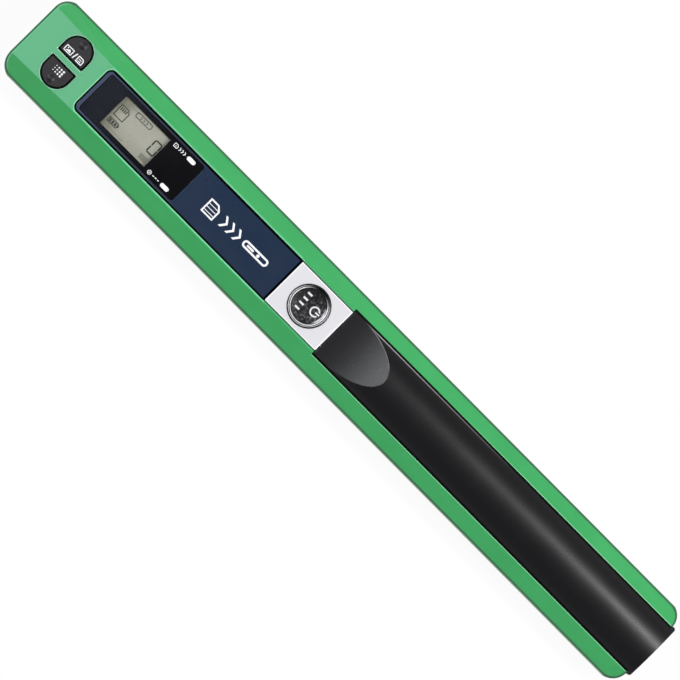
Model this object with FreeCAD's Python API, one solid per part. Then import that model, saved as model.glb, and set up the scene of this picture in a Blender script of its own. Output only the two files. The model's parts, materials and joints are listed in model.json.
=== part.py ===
import FreeCAD, Part
import math
import os

from FreeCAD import Vector

# A wand-shaped document scanner, lying on its rollers as if on a page.
# X runs along the wand from the button end to the battery cover, Z points up,
# and the origin is on the page, under the middle of the wand. Lengths are in millimetres.

# Clearances
RUNNING_GAP = 0.05        # radial gap of a shaft in its bore
SEAT_GAP = 0.03           # radial gap of a fixed pin or screw in its hole
KEY_GAP = 0.25            # gap round a key that is pressed
SLIDE_GAP = 0.25          # gap beside and above the sliding cover
FIT_GAP = 0.1             # gap round a piece that is glued or dropped in
ROLLER_GAP = 0.35         # gap round a roller in its slot

# Walls
WALL = 1.5                # both housing shells
TRAY_WALL = 1.2
COVER_WALL = 1.4
BOARD_THICK = 1.2
KEY_BOARD_THICK = 1.0

# Heights, built up from the page
ROLLER_PROUD = 0.9        # rollers stand out under the lower housing
SENSOR_HEIGHT = 6.7
SENSOR_BOARD_THICK = 1.0
TRAY_CLEARANCE = 0.4      # between sensor board and battery tray
TRAY_FLOOR = 0.8
CELL_CLEARANCE = 0.2
CELL_DIAMETER = 14.5
CELL_TO_COVER = 2.1
BOARD_CLEARANCE = 2.4     # between sensor board and main board
SIDE_HEIGHT = 6.0         # upright side of the upper housing
CHINE_DROP = 3.0          # upright side of the lower housing
CROWN_ABOVE_TOP = 2.0     # the cover's crown over the housing's flat top
COVER_RISE = 2.2          # arch of the cover, edge to crown

BOTTOM_Z = ROLLER_PROUD
SENSOR_TOP = BOTTOM_Z + SENSOR_HEIGHT
SENSOR_BOARD_TOP = SENSOR_TOP + SENSOR_BOARD_THICK
TRAY_BOTTOM = SENSOR_BOARD_TOP + TRAY_CLEARANCE
CELL_R = CELL_DIAMETER / 2
CELL_Z = TRAY_BOTTOM + TRAY_FLOOR + CELL_CLEARANCE + CELL_R
CROWN_Z = CELL_Z + CELL_R + CELL_TO_COVER + COVER_WALL
TOP_Z = CROWN_Z - CROWN_ABOVE_TOP
PARTING_Z = SENSOR_BOARD_TOP + BOARD_CLEARANCE
SHOULDER_Z = PARTING_Z + SIDE_HEIGHT
CHINE_Z = PARTING_Z - CHINE_DROP
CEILING_Z = TOP_Z - WALL
BOARD_TOP = PARTING_Z + BOARD_THICK

# Widths, built up from the middle
SENSOR_HALF = 4.7
TYRE_R = 2.8
SHAFT_R = 1.0
TYRE_FROM_SENSOR = 0.8
BOSS_R = 1.65             # bosses that carry the main board and the tray
BOSS_FROM_SHAFT = 0.4
FLAT_HALF = 8.8           # half width of the flat top beside the panel
FLAT_HALF_AT_END = 9.4    # and at the button end, where it spreads
COVER_HALF = 8.95

AXLE_Y = SENSOR_HALF + TYRE_FROM_SENSOR + TYRE_R
AXLE_Z = TYRE_R
BOSS_Y = AXLE_Y + SHAFT_R + BOSS_FROM_SHAFT + BOSS_R
INNER_HALF = BOSS_Y + BOSS_R
HALF_WIDTH = INNER_HALF + WALL
FOOT_HALF = AXLE_Y + TYRE_R + 0.4
SLOT_HALF = COVER_HALF + 0.2

# Lengths, built up from the button end
KEY_FROM_END = 9.1
KEY_WIDTH = 9.6
PANEL_FROM_KEY = 5.35
PANEL_LENGTH = 79.3
PANEL_HALF = 8.15
SEAM = 0.15               # between display panel and button plate
PLATE_LENGTH = 20.75
PLATE_HALF = 7.85
COVER_GAP = 0.3
COVER_NOSE = 14.05        # from the cover's near edge to the battery tray
CONTACT_ROOM = 0.45
CELL_LENGTH = 50.5
CELL_COUNT = 2
SPRING_LENGTH = 4.9
CONTACT_THICK = 0.4
TRAY_TO_END = 5.55
LIP_GAP = 0.1
COVER_LIP = 1.1

KEYS_TO_COVER = PANEL_FROM_KEY + PANEL_LENGTH + SEAM + PLATE_LENGTH + COVER_GAP
TRAY_LENGTH = 2 * TRAY_WALL + CONTACT_ROOM + CELL_COUNT * CELL_LENGTH + SPRING_LENGTH + CONTACT_THICK
HANDLE_LENGTH = COVER_NOSE + TRAY_LENGTH + TRAY_TO_END + WALL + LIP_GAP + COVER_LIP
LENGTH = KEY_FROM_END + KEY_WIDTH + KEYS_TO_COVER + HANDLE_LENGTH

LEFT_X = -LENGTH / 2
RIGHT_X = LENGTH / 2
BODY_END = RIGHT_X - COVER_LIP - LIP_GAP
INNER_LEFT = LEFT_X + WALL
INNER_RIGHT = BODY_END - WALL
KEY_X = LEFT_X + KEY_FROM_END + KEY_WIDTH / 2
PANEL_X = LEFT_X + KEY_FROM_END + KEY_WIDTH + PANEL_FROM_KEY
PLATE_X = PANEL_X + PANEL_LENGTH + SEAM
COVER_X = PLATE_X + PLATE_LENGTH + COVER_GAP
TRAY_X = COVER_X + COVER_NOSE
TRAY_END = TRAY_X + TRAY_LENGTH
CELL_X = TRAY_X + TRAY_WALL + CONTACT_ROOM
SPRING_X = CELL_X + CELL_COUNT * CELL_LENGTH

# Housing
CORNER_R = 4.5            # plan corners
CORNER_SPREAD = 0.2       # the corner arcs meet the long sides at a slight angle
FOOT_EDGE_R = 1.0
CHINE_EDGE_R = 1.5
SHOULDER_EDGE_R = 1.0
RIM_CHAMFER = 0.3         # light edge round each cut-out of the top
LIP_WIDTH = 0.6           # tongue of the lower shell inside the upper one
LIP_HEIGHT = 0.7
LIP_SET_BACK = 0.2        # from the inside of the wall

# Keys
KEY_BAR = 1.9             # green bar between the two keys
KEY_DEPTH = 8.1           # from the bar to the round end
KEY_PROUD = 0.6
KEY_EDGE_R = 0.4
KEY_FLANGE = 0.5
KEY_FLANGE_THICK = 0.8
PIP_R = 1.25
PIP_HEIGHT = 0.35
PIP_FROM_ROUND_END = 2.35
KEY_STEM_R = 1.3

# Display panel and what shows through it
FLOOR_THICK = 1.2         # shelf under the panel and the plate
PANEL_THICK = 1.7
PANEL_PROUD = 0.05
PANEL_CORNER_R = 2.0
PANEL_BEVEL = 0.45
WINDOW_FROM_END = 1.5
WINDOW_LENGTH = 38.5
WINDOW_HALF = 7.05
WINDOW_THICK = 0.8
WINDOW_CORNER_R = 1.0
WINDOW_LEDGE = 0.3
FRAME_WALL = 0.4
SCREEN_FROM_WINDOW = 7.5  # from the window's end to the visible part of the display
SCREEN_LENGTH = 18.2
SCREEN_WIDTH = 11.1
GLASS_THICK = 1.5
GLASS_BORDER_X = 2.0
REFLECTOR_THICK = 1.25
STRIP_WIDTH = 1.4
LIGHT_LENGTH = 3.1
LIGHT_WIDTH = 1.35
LIGHT_Y = 5.5
LIGHT_FROM_WINDOW_END = 4.35
LED_HEIGHT = 1.0

# Round scan button
BUTTON_FROM_PLATE = 10.4
BUTTON_R = 5.7
RING_WIDTH = 0.6
RING_PROUD = 0.3
BUTTON_PROUD = 0.45
BUTTON_FLANGE = 0.6
BUTTON_FLANGE_THICK = 0.5
BUTTON_RIM = 0.5
BUTTON_DISH = 0.35
MARK_HEIGHT = 0.22

# Key switches
KEY_TRAVEL = 0.4
SWITCH_SIZE = 4.5
SWITCH_HEIGHT = 1.5
PLUNGER_R = 1.0
PLUNGER_PROUD = 0.7       # over the switch at rest
SWITCH_ROOM = 3.1         # from the key board up to the shelf

# Battery cover
SKIRT_THICK = 1.2
TONGUE_WIDTH = 0.8
TONGUE_HEIGHT = 1.25
LEDGE_FROM_TOP = 3.9      # underside of the ledge that holds the cover's tongue
RAIL_THICK = 1.2          # rail under the tongue
COVER_EDGE_R = 0.4
SCOOP_LENGTH = 20.5
SCOOP_DEPTH = 2.15
LIP_OVERHANG = 0.65
LIP_CORNER_R = 0.8         # plan corners of the cover's end lip
NOSE_ROOF = 1.0           # cover's thickness under the scoop; it slides over the cells

# Screws
SCREW_HEAD_R = 1.8
SCREW_HEAD_HEIGHT = 1.3
SCREW_R = 0.8
POST_R = 2.0
POST_Y = 9.2
SMALL_SCREW_R = 0.65
SMALL_HEAD_R = 1.3
SMALL_HEAD_HEIGHT = 0.8
HEAD_RECESS_R = 2.1
SCREW_REACH = 5.0         # into the upper posts
SMALL_REACH = 4.5         # into the side bosses
KEY_SCREW_REACH = 3.0     # into the posts over the display board
HOLE_SPARE = 0.4          # each screw hole is this much deeper than its screw
BOARD_SCREW_FROM_END = 44.0
BOARD_SCREW_TO_COVER = 16.55
TRAY_SCREW_NEAR = 19.4
TRAY_SCREW_FAR = 35.75

# Drive roller, encoder and idlers
TYRE_LENGTH = 14.0
ROLLER_FROM_END = 28.0
IDLER_LENGTH = 8.0
IDLER_PIN_R = 0.8
PIN_LENGTH = 14.0
BUSH_R = 1.6
BUSH_LENGTH = 2.0
BUSH_FROM_END = 10.4      # bush centre from the inside of the end wall
GEAR_MODULE = 0.3
DRIVE_TEETH = 12
WHEEL_TEETH = 14
GEAR_WIDTH = 1.8
GEAR_BACKLASH = 0.08
CENTRE_EXTRA = 0.05       # gear centres stand this much further apart
WHEEL_LEAN = 28.0         # degrees from upright, shaft to encoder axle
DISC_R = 3.6
DISC_THICK = 0.5
DISC_SLOTS = 12
ENCODER_PIN_R = 0.75
CLIP_R = 1.7
CLIP_THICK = 0.4

# Sensor bar
SENSOR_MARGIN = 12.5      # from the end walls to the bar
SENSOR_WALL = 0.6
SCAN_GLASS_THICK = 1.1
SCAN_GLASS_PROUD = 0.3
SCAN_GLASS_MARGIN = 3.0
LENS_WIDTH = 2.0
LENS_HEIGHT = 4.2
LENS_Y = 0.8
GUIDE_WIDTH = 2.3
GUIDE_Y = -2.2
EAR_LENGTH = 3.5
EAR_HALF = 3.0
EAR_THICK = 2.0

# Sockets and the card
PORT_FROM_END = 30.0
PORT_WIDTH = 7.7
PORT_HEIGHT = 3.9
PORT_DEPTH = 9.2
PORT_WALL = 0.4
CARD_FROM_END = 65.0
PROCESSOR_SIZE = 12.0
MEMORY_CHIP_SIZE = 8.0
MEMORY_CHIP_Y = -7.5
CHIP_HEIGHT = 1.1
CHIP_SPACING = 1.5
CRYSTAL_LENGTH = 5.0
CRYSTAL_WIDTH = 3.2
CAP_LENGTH = 2.0
CAP_WIDTH = 0.9
CAP_SPACING = 1.6
HEADER_FROM_BOARD_END = 31.0
HEADER_WIDTH = 2.5
HEADER_PITCH = 2.0
HEADER_PINS = 8
CONNECTOR_LENGTH = 4.0
CONNECTOR_HALF = 6.0
CONNECTOR_HEIGHT = 1.8
CABLE_FROM_BOARD_END = 55.0
CABLE_LENGTH = 22.0
CABLE_HALF = 3.5
INTERRUPTER_ARM = 1.0
CARD_WIDTH = 11.0
CARD_LENGTH = 15.0
CARD_THICK = 0.9
CARD_RECESS = 0.2         # card edge inside the housing's side
SOCKET_WALL = 0.4
SOCKET_DEPTH = 14.3
SOCKET_FLOOR = 0.5


def block(x, y, z):
    """A box between a low and a high value on each axis."""
    size = (x[1] - x[0], y[1] - y[0], z[1] - z[0])
    return Part.makeBox(*size, Vector(x[0], y[0], z[0]))


def about(centre, half):
    """Low and high value at the same distance from a centre."""
    return (centre - half, centre + half)


def rod_x(radius, x, y, z):
    """Cylinder along X between two values of x."""
    return Part.makeCylinder(radius, x[1] - x[0], Vector(x[0], y, z), Vector(1, 0, 0))


def rod_z(radius, x, y, z):
    """Upright cylinder between two heights."""
    return Part.makeCylinder(radius, z[1] - z[0], Vector(x, y, z[0]))


def rounded_wire(corners, place):
    """Closed wire through corners (a, b, radius), with an arc at each rounded corner."""
    trims = []
    for index, (a, b, radius) in enumerate(corners):
        corner = place(a, b)
        before = (place(*corners[index - 1][:2]) - corner).normalize()
        after = (place(*corners[(index + 1) % len(corners)][:2]) - corner).normalize()
        half_angle = before.getAngle(after) / 2
        trim = radius / math.tan(half_angle)
        inward = (before + after).normalize()
        centre = corner + inward * (radius / math.sin(half_angle))
        trims.append((corner + before * trim, centre - inward * radius, corner + after * trim))
    edges = []
    for index, (start, middle, end) in enumerate(trims):
        if corners[index][2] > 0:
            edges.append(Part.Arc(start, middle, end).toShape())
        following = trims[(index + 1) % len(trims)][0]
        if (following - end).Length > 1e-6:
            edges.append(Part.LineSegment(end, following).toShape())
    return Part.Wire(edges)


def in_plan(z):
    return lambda x, y: Vector(x, y, z)


def in_section(x):
    return lambda y, z: Vector(x, y, z)


def plan_prism(corners, z):
    """Upright prism over a plan outline of (x, y, radius) corners."""
    face = Part.Face(rounded_wire(corners, in_plan(z[0])))
    return face.extrude(Vector(0, 0, z[1] - z[0]))


def section_prism(corners, x):
    """Prism along X over a cross-section of (y, z, radius) corners."""
    face = Part.Face(rounded_wire(corners, in_section(x[0])))
    return face.extrude(Vector(x[1] - x[0], 0, 0))


def rectangle(x, y, left_r=0.0, right_r=None):
    """Corners of a plan rectangle, with one radius at each end."""
    if right_r is None:
        right_r = left_r
    return [(x[0], y[0], left_r), (x[1], y[0], right_r), (x[1], y[1], right_r), (x[0], y[1], left_r)]


def chamfer_cutter(outline, z, width):
    """Tool that bevels the top edge of a hole; outline(grow) gives the hole's corners."""
    low = rounded_wire(outline(0), in_plan(z - width))
    high = rounded_wire(outline(width + FIT_GAP), in_plan(z + FIT_GAP))
    return Part.makeLoft([low, high], True, True)


def join(shapes):
    """One solid from shapes that touch or overlap."""
    return shapes[0].fuse(shapes[1:]).removeSplitter()


def cut_all(shape, tools):
    return shape.cut(Part.makeCompound(tools)) if tools else shape


# Housing shells

HOUSING_SECTION = [
    (-FOOT_HALF, BOTTOM_Z, FOOT_EDGE_R),
    (FOOT_HALF, BOTTOM_Z, FOOT_EDGE_R),
    (HALF_WIDTH, CHINE_Z, CHINE_EDGE_R),
    (HALF_WIDTH, SHOULDER_Z, SHOULDER_EDGE_R),
    (FLAT_HALF, TOP_Z, 0.0),
    (-FLAT_HALF, TOP_Z, 0.0),
    (-HALF_WIDTH, SHOULDER_Z, SHOULDER_EDGE_R),
    (-HALF_WIDTH, CHINE_Z, CHINE_EDGE_R),
]


def housing_plan(inset, z):
    """Rounded plan of the housing, drawn in by an inset."""
    x = (LEFT_X + inset, BODY_END - inset)
    half = HALF_WIDTH + CORNER_SPREAD - inset
    return plan_prism(rectangle(x, about(0, half), CORNER_R - inset), z)


def flat_top_spread(side):
    """Slim wedge on a slope that widens the flat top from the panel towards the button end."""
    foot = 0.05               # the wedge dies out this share up the slope, over the rounded shoulder
    foot_y = HALF_WIDTH - foot * (HALF_WIDTH - FLAT_HALF)
    foot_z = SHOULDER_Z + foot * (TOP_Z - SHOULDER_Z)
    inner = Vector(LEFT_X, side * FLAT_HALF, TOP_Z)
    outer = Vector(LEFT_X, side * FLAT_HALF_AT_END, TOP_Z)
    low = Vector(LEFT_X, side * foot_y, foot_z)
    tip = Vector(PANEL_X, side * FLAT_HALF, TOP_Z)
    corners = [(inner, outer, low), (inner, tip, outer), (outer, tip, low), (low, tip, inner)]
    faces = [Part.Face(Part.makePolygon([a, b, c, a])) for a, b, c in corners]
    return Part.makeSolid(Part.makeShell(faces))


def housing_block():
    """The whole housing as one solid."""
    plan = housing_plan(0, (0, CROWN_Z))
    bar = section_prism(HOUSING_SECTION, (LEFT_X, BODY_END))
    return join([bar, flat_top_spread(1), flat_top_spread(-1)]).common(plan)


def housing_hollow():
    """The room inside both shells."""
    face = Part.Face(rounded_wire(HOUSING_SECTION, in_section(INNER_LEFT)))
    inner = face.makeOffset2D(-WALL).extrude(Vector(INNER_RIGHT - INNER_LEFT, 0, 0))
    return inner.common(housing_plan(WALL, (0, CROWN_Z)))


BLOCK = housing_block()
HOLLOW = housing_hollow()
ALL_X = (LEFT_X - 1, RIGHT_X + 1)
ALL_Y = about(0, HALF_WIDTH + 1)

# Housing screws: three corners and one between main board and battery bay
SCREW_SPOTS = [
    (INNER_LEFT + POST_R + 2.0, -POST_Y),
    (COVER_X - POST_R - 2.5, -POST_Y),
    (INNER_RIGHT - POST_R - 0.1, -POST_Y),
    (INNER_RIGHT - POST_R - 0.1, POST_Y),
]
BOARD_SCREW_X = [LEFT_X + BOARD_SCREW_FROM_END, COVER_X - BOARD_SCREW_TO_COVER]
TRAY_SCREW_X = [TRAY_X + TRAY_SCREW_NEAR, TRAY_END - TRAY_SCREW_FAR]

KEY_HOLE_R = KEY_WIDTH / 2
WINDOW_X = (PANEL_X + WINDOW_FROM_END, PANEL_X + WINDOW_FROM_END + WINDOW_LENGTH)
SHELF_TOP = TOP_Z - PANEL_THICK
SHELF_BOTTOM = SHELF_TOP - FLOOR_THICK
BUTTON_X = PLATE_X + BUTTON_FROM_PLATE
RING_R = BUTTON_R + KEY_GAP + RING_WIDTH
LEDGE_Z = TOP_Z - LEDGE_FROM_TOP
TONGUE_TOP = LEDGE_Z - SLIDE_GAP
TONGUE_BOTTOM = TONGUE_TOP - TONGUE_HEIGHT
CHANNEL_BOTTOM = TONGUE_BOTTOM - SLIDE_GAP
CHANNEL_HALF = COVER_HALF + TONGUE_WIDTH + 0.2
BULKHEAD_X = (COVER_X - COVER_GAP - 1.8, COVER_X - COVER_GAP)
KEY_BOARD_TOP = SHELF_BOTTOM - SWITCH_ROOM
KEY_BOARD_Z = (KEY_BOARD_TOP - KEY_BOARD_THICK, KEY_BOARD_TOP)
PORT_X = LEFT_X + PORT_FROM_END
CARD_X = LEFT_X + CARD_FROM_END
CARD_Z = (BOARD_TOP + SOCKET_FLOOR + FIT_GAP, BOARD_TOP + SOCKET_FLOOR + FIT_GAP + CARD_THICK)
KEY_POST_SPOTS = [
    (LEFT_X + 4.8, 0.0),
    (WINDOW_X[1] + 5.0, -POST_Y),
    (WINDOW_X[1] + 5.0, POST_Y),
    (PLATE_X - 4.0, -POST_Y),
    (PLATE_X - 4.0, POST_Y),
]
KEY_POST_R = 1.4


def key_outline(side, grow):
    """D shape with its flat side at the bar between the keys; side is 1 or -1."""
    x = about(KEY_X, KEY_HOLE_R + grow)
    inner = side * (KEY_BAR / 2 - grow)
    outer = side * (KEY_BAR / 2 + KEY_DEPTH + grow)
    # The far corners are rounded by almost the half width, which leaves a sliver of straight end.
    round_r = KEY_HOLE_R + grow - 0.01
    return [(x[0], inner, 0.2), (x[1], inner, 0.2), (x[1], outer, round_r), (x[0], outer, round_r)]


def panel_outline(grow):
    x = (PANEL_X - grow, PANEL_X + PANEL_LENGTH + grow)
    return rectangle(x, about(0, PANEL_HALF + grow), PANEL_CORNER_R + grow, 0.0)


def plate_outline(grow):
    x = (PLATE_X - grow, PLATE_X + PLATE_LENGTH + grow)
    return rectangle(x, about(0, PLATE_HALF + grow), 0.2)


def pill_outline(x, y, grow):
    half = LIGHT_WIDTH / 2 + grow
    return rectangle(about(x, LIGHT_LENGTH / 2 + grow), about(y, half), half - 0.01)


def cover_channel():
    """Room for the sliding cover, open at the far end, with bevelled upper edges."""
    x = (COVER_X - COVER_GAP + 0.05, BODY_END + 1)
    rim = RIM_CHAMFER
    right = [
        (CHANNEL_HALF, CHANNEL_BOTTOM),
        (CHANNEL_HALF, LEDGE_Z),
        (SLOT_HALF, LEDGE_Z),
        (SLOT_HALF, TOP_Z - rim),
        (SLOT_HALF + rim + 1, TOP_Z + 1),
    ]
    corners = [(y, z, 0.0) for y, z in right] + [(-y, z, 0.0) for y, z in reversed(right)]
    return section_prism(corners, x)


def window_frame_x():
    return (WINDOW_X[0] + 0.8, WINDOW_X[1] - 0.8)


FRAME_HALF = WINDOW_HALF - WINDOW_LEDGE - FIT_GAP
SHAFT_Z = AXLE_Z
BUSH_X = [INNER_LEFT + BUSH_FROM_END - 0.5, INNER_RIGHT - BUSH_FROM_END + 1.7]


def top_cuts():
    """Cut-outs of the flat top, with a light bevel round each."""
    through = (SHELF_TOP - 1, TOP_Z + 1)
    tools = []
    for side in (1, -1):
        tools.append(plan_prism(key_outline(side, 0), (CEILING_Z - 5, TOP_Z + 1)))
        tools.append(chamfer_cutter(lambda grow, s=side: key_outline(s, grow), TOP_Z, RIM_CHAMFER))
    tools.append(plan_prism(panel_outline(FIT_GAP), (SHELF_TOP, through[1])))
    tools.append(chamfer_cutter(lambda grow: panel_outline(FIT_GAP + grow), TOP_Z, RIM_CHAMFER))
    tools.append(plan_prism(plate_outline(FIT_GAP), (SHELF_TOP, through[1])))
    frame = rectangle(window_frame_x(), about(0, FRAME_HALF))
    tools.append(plan_prism(frame, (0 + KEY_BOARD_TOP, through[1])))
    tools.append(rod_z(BUTTON_R + KEY_GAP, BUTTON_X, 0, (KEY_BOARD_TOP, TOP_Z)))
    tools.append(cover_channel())
    return tools


def make_upper_housing():
    shell = BLOCK.cut(HOLLOW).common(block(ALL_X, ALL_Y, (PARTING_Z, CROWN_Z)))
    upper_block = BLOCK.common(block(ALL_X, ALL_Y, (PARTING_Z, CROWN_Z)))
    shelf = block((PANEL_X - 1.6, BULKHEAD_X[1]), ALL_Y, (SHELF_BOTTOM, SHELF_TOP + 0.5))
    lead_room = 3.0
    bulkhead = block(BULKHEAD_X, ALL_Y, (PARTING_Z + lead_room, SHELF_TOP))
    ribs = [shelf, bulkhead]
    for side in (1, -1):
        wall = sorted((side * SLOT_HALF, side * (HALF_WIDTH + 1)))
        length = (BULKHEAD_X[1], INNER_RIGHT + 0.5)
        ribs.append(block(length, wall, (LEDGE_Z, CEILING_Z + 0.5)))
        ribs.append(block(length, wall, (CHANNEL_BOTTOM - RAIL_THICK, CHANNEL_BOTTOM)))
    for x, y in SCREW_SPOTS:
        height = CHANNEL_BOTTOM if x > COVER_X else CEILING_Z + 0.5
        web = sorted((y, math.copysign(HALF_WIDTH, y)))
        ribs.append(rod_z(POST_R, x, y, (PARTING_Z, height)))
        ribs.append(block(about(x, POST_R / 2), web, (PARTING_Z + 2, height)))
    for x, y in KEY_POST_SPOTS:
        ribs.append(rod_z(KEY_POST_R, x, y, (KEY_BOARD_TOP, CEILING_Z + 0.5)))
    inner = Part.makeCompound([rib.common(upper_block) for rib in ribs])
    housing = join([shell] + inner.Solids)
    tools = top_cuts()
    for x, y in SCREW_SPOTS:
        tools.append(rod_z(SCREW_R + SEAT_GAP, x, y, (PARTING_Z, PARTING_Z + SCREW_REACH + HOLE_SPARE)))
    for x, y in KEY_POST_SPOTS:
        pilot_z = (KEY_BOARD_TOP, KEY_BOARD_TOP + KEY_SCREW_REACH + HOLE_SPARE)
        tools.append(rod_z(SMALL_SCREW_R + SEAT_GAP, x, y, pilot_z))
    rebate_z = (PARTING_Z, PARTING_Z + LIP_HEIGHT + FIT_GAP)
    rebate = housing_plan(WALL - LIP_SET_BACK - LIP_WIDTH - FIT_GAP, rebate_z)
    tools.append(rebate.cut(housing_plan(WALL + FIT_GAP, rebate_z)))
    side_room = (INNER_HALF - 1, HALF_WIDTH + 1)
    port_z = (BOARD_TOP - 0.3, BOARD_TOP + PORT_HEIGHT + 0.3)
    tools.append(block(about(PORT_X, PORT_WIDTH / 2 + 0.3), side_room, port_z))
    card_z = (CARD_Z[0] - 0.3, CARD_Z[1] + 0.3)
    tools.append(block(about(CARD_X, CARD_WIDTH / 2 + 0.3), side_room, card_z))
    return cut_all(housing, tools)


def roller_spots():
    """Left and right place of the rollers along the wand."""
    return [LEFT_X + ROLLER_FROM_END, RIGHT_X - ROLLER_FROM_END]


def wheel_centre():
    """Encoder axle, leaning inwards over the drive shaft."""
    distance = GEAR_MODULE * (DRIVE_TEETH + WHEEL_TEETH) / 2 + CENTRE_EXTRA
    lean = math.radians(WHEEL_LEAN)
    return (AXLE_Y - distance * math.sin(lean), SHAFT_Z + distance * math.cos(lean))


WHEEL_Y, WHEEL_Z = wheel_centre()
FLOOR_Z = BOTTOM_Z + WALL
SENSOR_X = (INNER_LEFT + SENSOR_MARGIN, INNER_RIGHT - SENSOR_MARGIN + 1.2)
GEAR_X = (BUSH_X[0] - BUSH_LENGTH / 2 - 3.0, BUSH_X[0] - BUSH_LENGTH / 2 - 3.0 + GEAR_WIDTH)
DISC_X = (INNER_LEFT + 2.6, INNER_LEFT + 2.6 + DISC_THICK)
SHAFT_X = (GEAR_X[0] - 0.4, BUSH_X[1] + BUSH_LENGTH / 2 + 1.0)


def bearing_ribs():
    """Blocks on the floor of the lower housing that carry shafts and pins."""
    ribs = []
    for x in BUSH_X:
        top = WHEEL_Z + 1.6 if x < 0 else SHAFT_Z + BUSH_R + 0.8
        ribs.append(block(about(x, BUSH_LENGTH / 2), (SENSOR_HALF + 0.5, HALF_WIDTH), (BOTTOM_Z, top)))
    ribs.append(rod_x(1.8, (LEFT_X, DISC_X[0] - 0.5), WHEEL_Y, WHEEL_Z))
    for x in roller_spots():
        for end in (-1, 1):
            centre = x + end * (PIN_LENGTH / 2 - 0.75)
            rib_y = (-HALF_WIDTH, -SENSOR_HALF - 0.5)
            ribs.append(block(about(centre, 0.75), rib_y, (BOTTOM_Z, SHAFT_Z + 2)))
    return ribs


def make_lower_housing():
    lower = block(ALL_X, ALL_Y, (0, PARTING_Z))
    shell = BLOCK.cut(HOLLOW).common(lower)
    lower_block = BLOCK.common(lower)
    ribs = bearing_ribs()
    for x, y in SCREW_SPOTS:
        ribs.append(rod_z(POST_R + 0.6, x, y, (BOTTOM_Z, PARTING_Z)))
    for x in BOARD_SCREW_X + TRAY_SCREW_X:
        for side in (1, -1):
            web = sorted((side * BOSS_Y, side * HALF_WIDTH))
            ribs.append(rod_z(BOSS_R, x, side * BOSS_Y, (BOTTOM_Z, PARTING_Z)))
            ribs.append(block(about(x, BOSS_R / 2), web, (BOTTOM_Z, PARTING_Z)))
    lip_z = (PARTING_Z, PARTING_Z + LIP_HEIGHT)
    lip = housing_plan(WALL - LIP_SET_BACK - LIP_WIDTH, lip_z)
    lip = lip.cut(housing_plan(WALL - LIP_SET_BACK, lip_z))
    housing = join([shell] + [rib.common(lower_block) for rib in ribs] + [lip])
    opening = rectangle((SENSOR_X[0] - 0.3, SENSOR_X[1] + 0.3), about(0, SENSOR_HALF + 0.2), 0.5)
    tools = [plan_prism(opening, (0, FLOOR_Z + 0.5))]
    for x in roller_spots():
        tyre_room = about(x, TYRE_LENGTH / 2 + ROLLER_GAP)
        idler_room = about(x, IDLER_LENGTH / 2 + ROLLER_GAP)
        tools.append(rod_x(TYRE_R + ROLLER_GAP, tyre_room, AXLE_Y, SHAFT_Z))
        tools.append(rod_x(TYRE_R + ROLLER_GAP, idler_room, -AXLE_Y, SHAFT_Z))
        tools.append(rod_x(IDLER_PIN_R + SEAT_GAP, about(x, PIN_LENGTH / 2), -AXLE_Y, SHAFT_Z))
    for x in BUSH_X:
        tools.append(rod_x(BUSH_R + SEAT_GAP, about(x, BUSH_LENGTH / 2), AXLE_Y, SHAFT_Z))
    tools.append(rod_x(ENCODER_PIN_R + SEAT_GAP, (INNER_LEFT - 0.5, BUSH_X[0] + 0.5), WHEEL_Y, WHEEL_Z))
    gear_room = GEAR_MODULE * (DRIVE_TEETH / 2 + 1) + ROLLER_GAP
    tools.append(rod_x(gear_room, (GEAR_X[0] - ROLLER_GAP, BUSH_X[0] - BUSH_LENGTH / 2), AXLE_Y, SHAFT_Z))
    tools.append(rod_x(gear_room, (BUSH_X[1] + BUSH_LENGTH / 2, SHAFT_X[1] + ROLLER_GAP), AXLE_Y, SHAFT_Z))
    shaft_room = (SHAFT_X[0] - 0.5, SHAFT_X[1] + 0.5)
    tools.append(rod_x(SHAFT_R + ROLLER_GAP, shaft_room, AXLE_Y, SHAFT_Z))
    for x, y in SCREW_SPOTS:
        tools.append(rod_z(HEAD_RECESS_R, x, y, (0, FLOOR_Z + 0.8)))
        tools.append(rod_z(SCREW_R + FIT_GAP, x, y, (0, PARTING_Z)))
    for x in BOARD_SCREW_X + TRAY_SCREW_X:
        for side in (1, -1):
            hole_z = (PARTING_Z - SMALL_REACH - HOLE_SPARE, PARTING_Z)
            tools.append(rod_z(SMALL_SCREW_R + SEAT_GAP, x, side * BOSS_Y, hole_z))
    return cut_all(housing, tools)


def screw(x, y, head_z, tip_z, head_r, shank_r, head_height):
    """Pan-head screw with a cross recess; the head is at head_z and the tip at tip_z."""
    up = 1 if tip_z > head_z else -1
    head_far = head_z - up * head_height
    head = rod_z(head_r, x, y, sorted((head_far, head_z)))
    rim = [
        edge for edge in head.Edges
        if abs(edge.BoundBox.ZMin - head_far) < 1e-6 and edge.BoundBox.ZLength < 1e-6
    ]
    head = head.makeFillet(head_height * 0.4, rim)
    shank = rod_z(shank_r, x, y, sorted((head_z, tip_z)))
    recess_z = sorted((head_far, head_far + up * head_height * 0.5))
    arm = head_r * 0.55
    blade = head_r * 0.12
    cross = [block(about(x, arm), about(y, blade), recess_z), block(about(x, blade), about(y, arm), recess_z)]
    return head.fuse(shank).cut(Part.makeCompound(cross))


def make_housing_screws():
    seat = FLOOR_Z + 0.8
    tip = PARTING_Z + SCREW_REACH
    return [screw(x, y, seat, tip, SCREW_HEAD_R, SCREW_R, SCREW_HEAD_HEIGHT) for x, y in SCREW_SPOTS]


# Display panel, window and display

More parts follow.
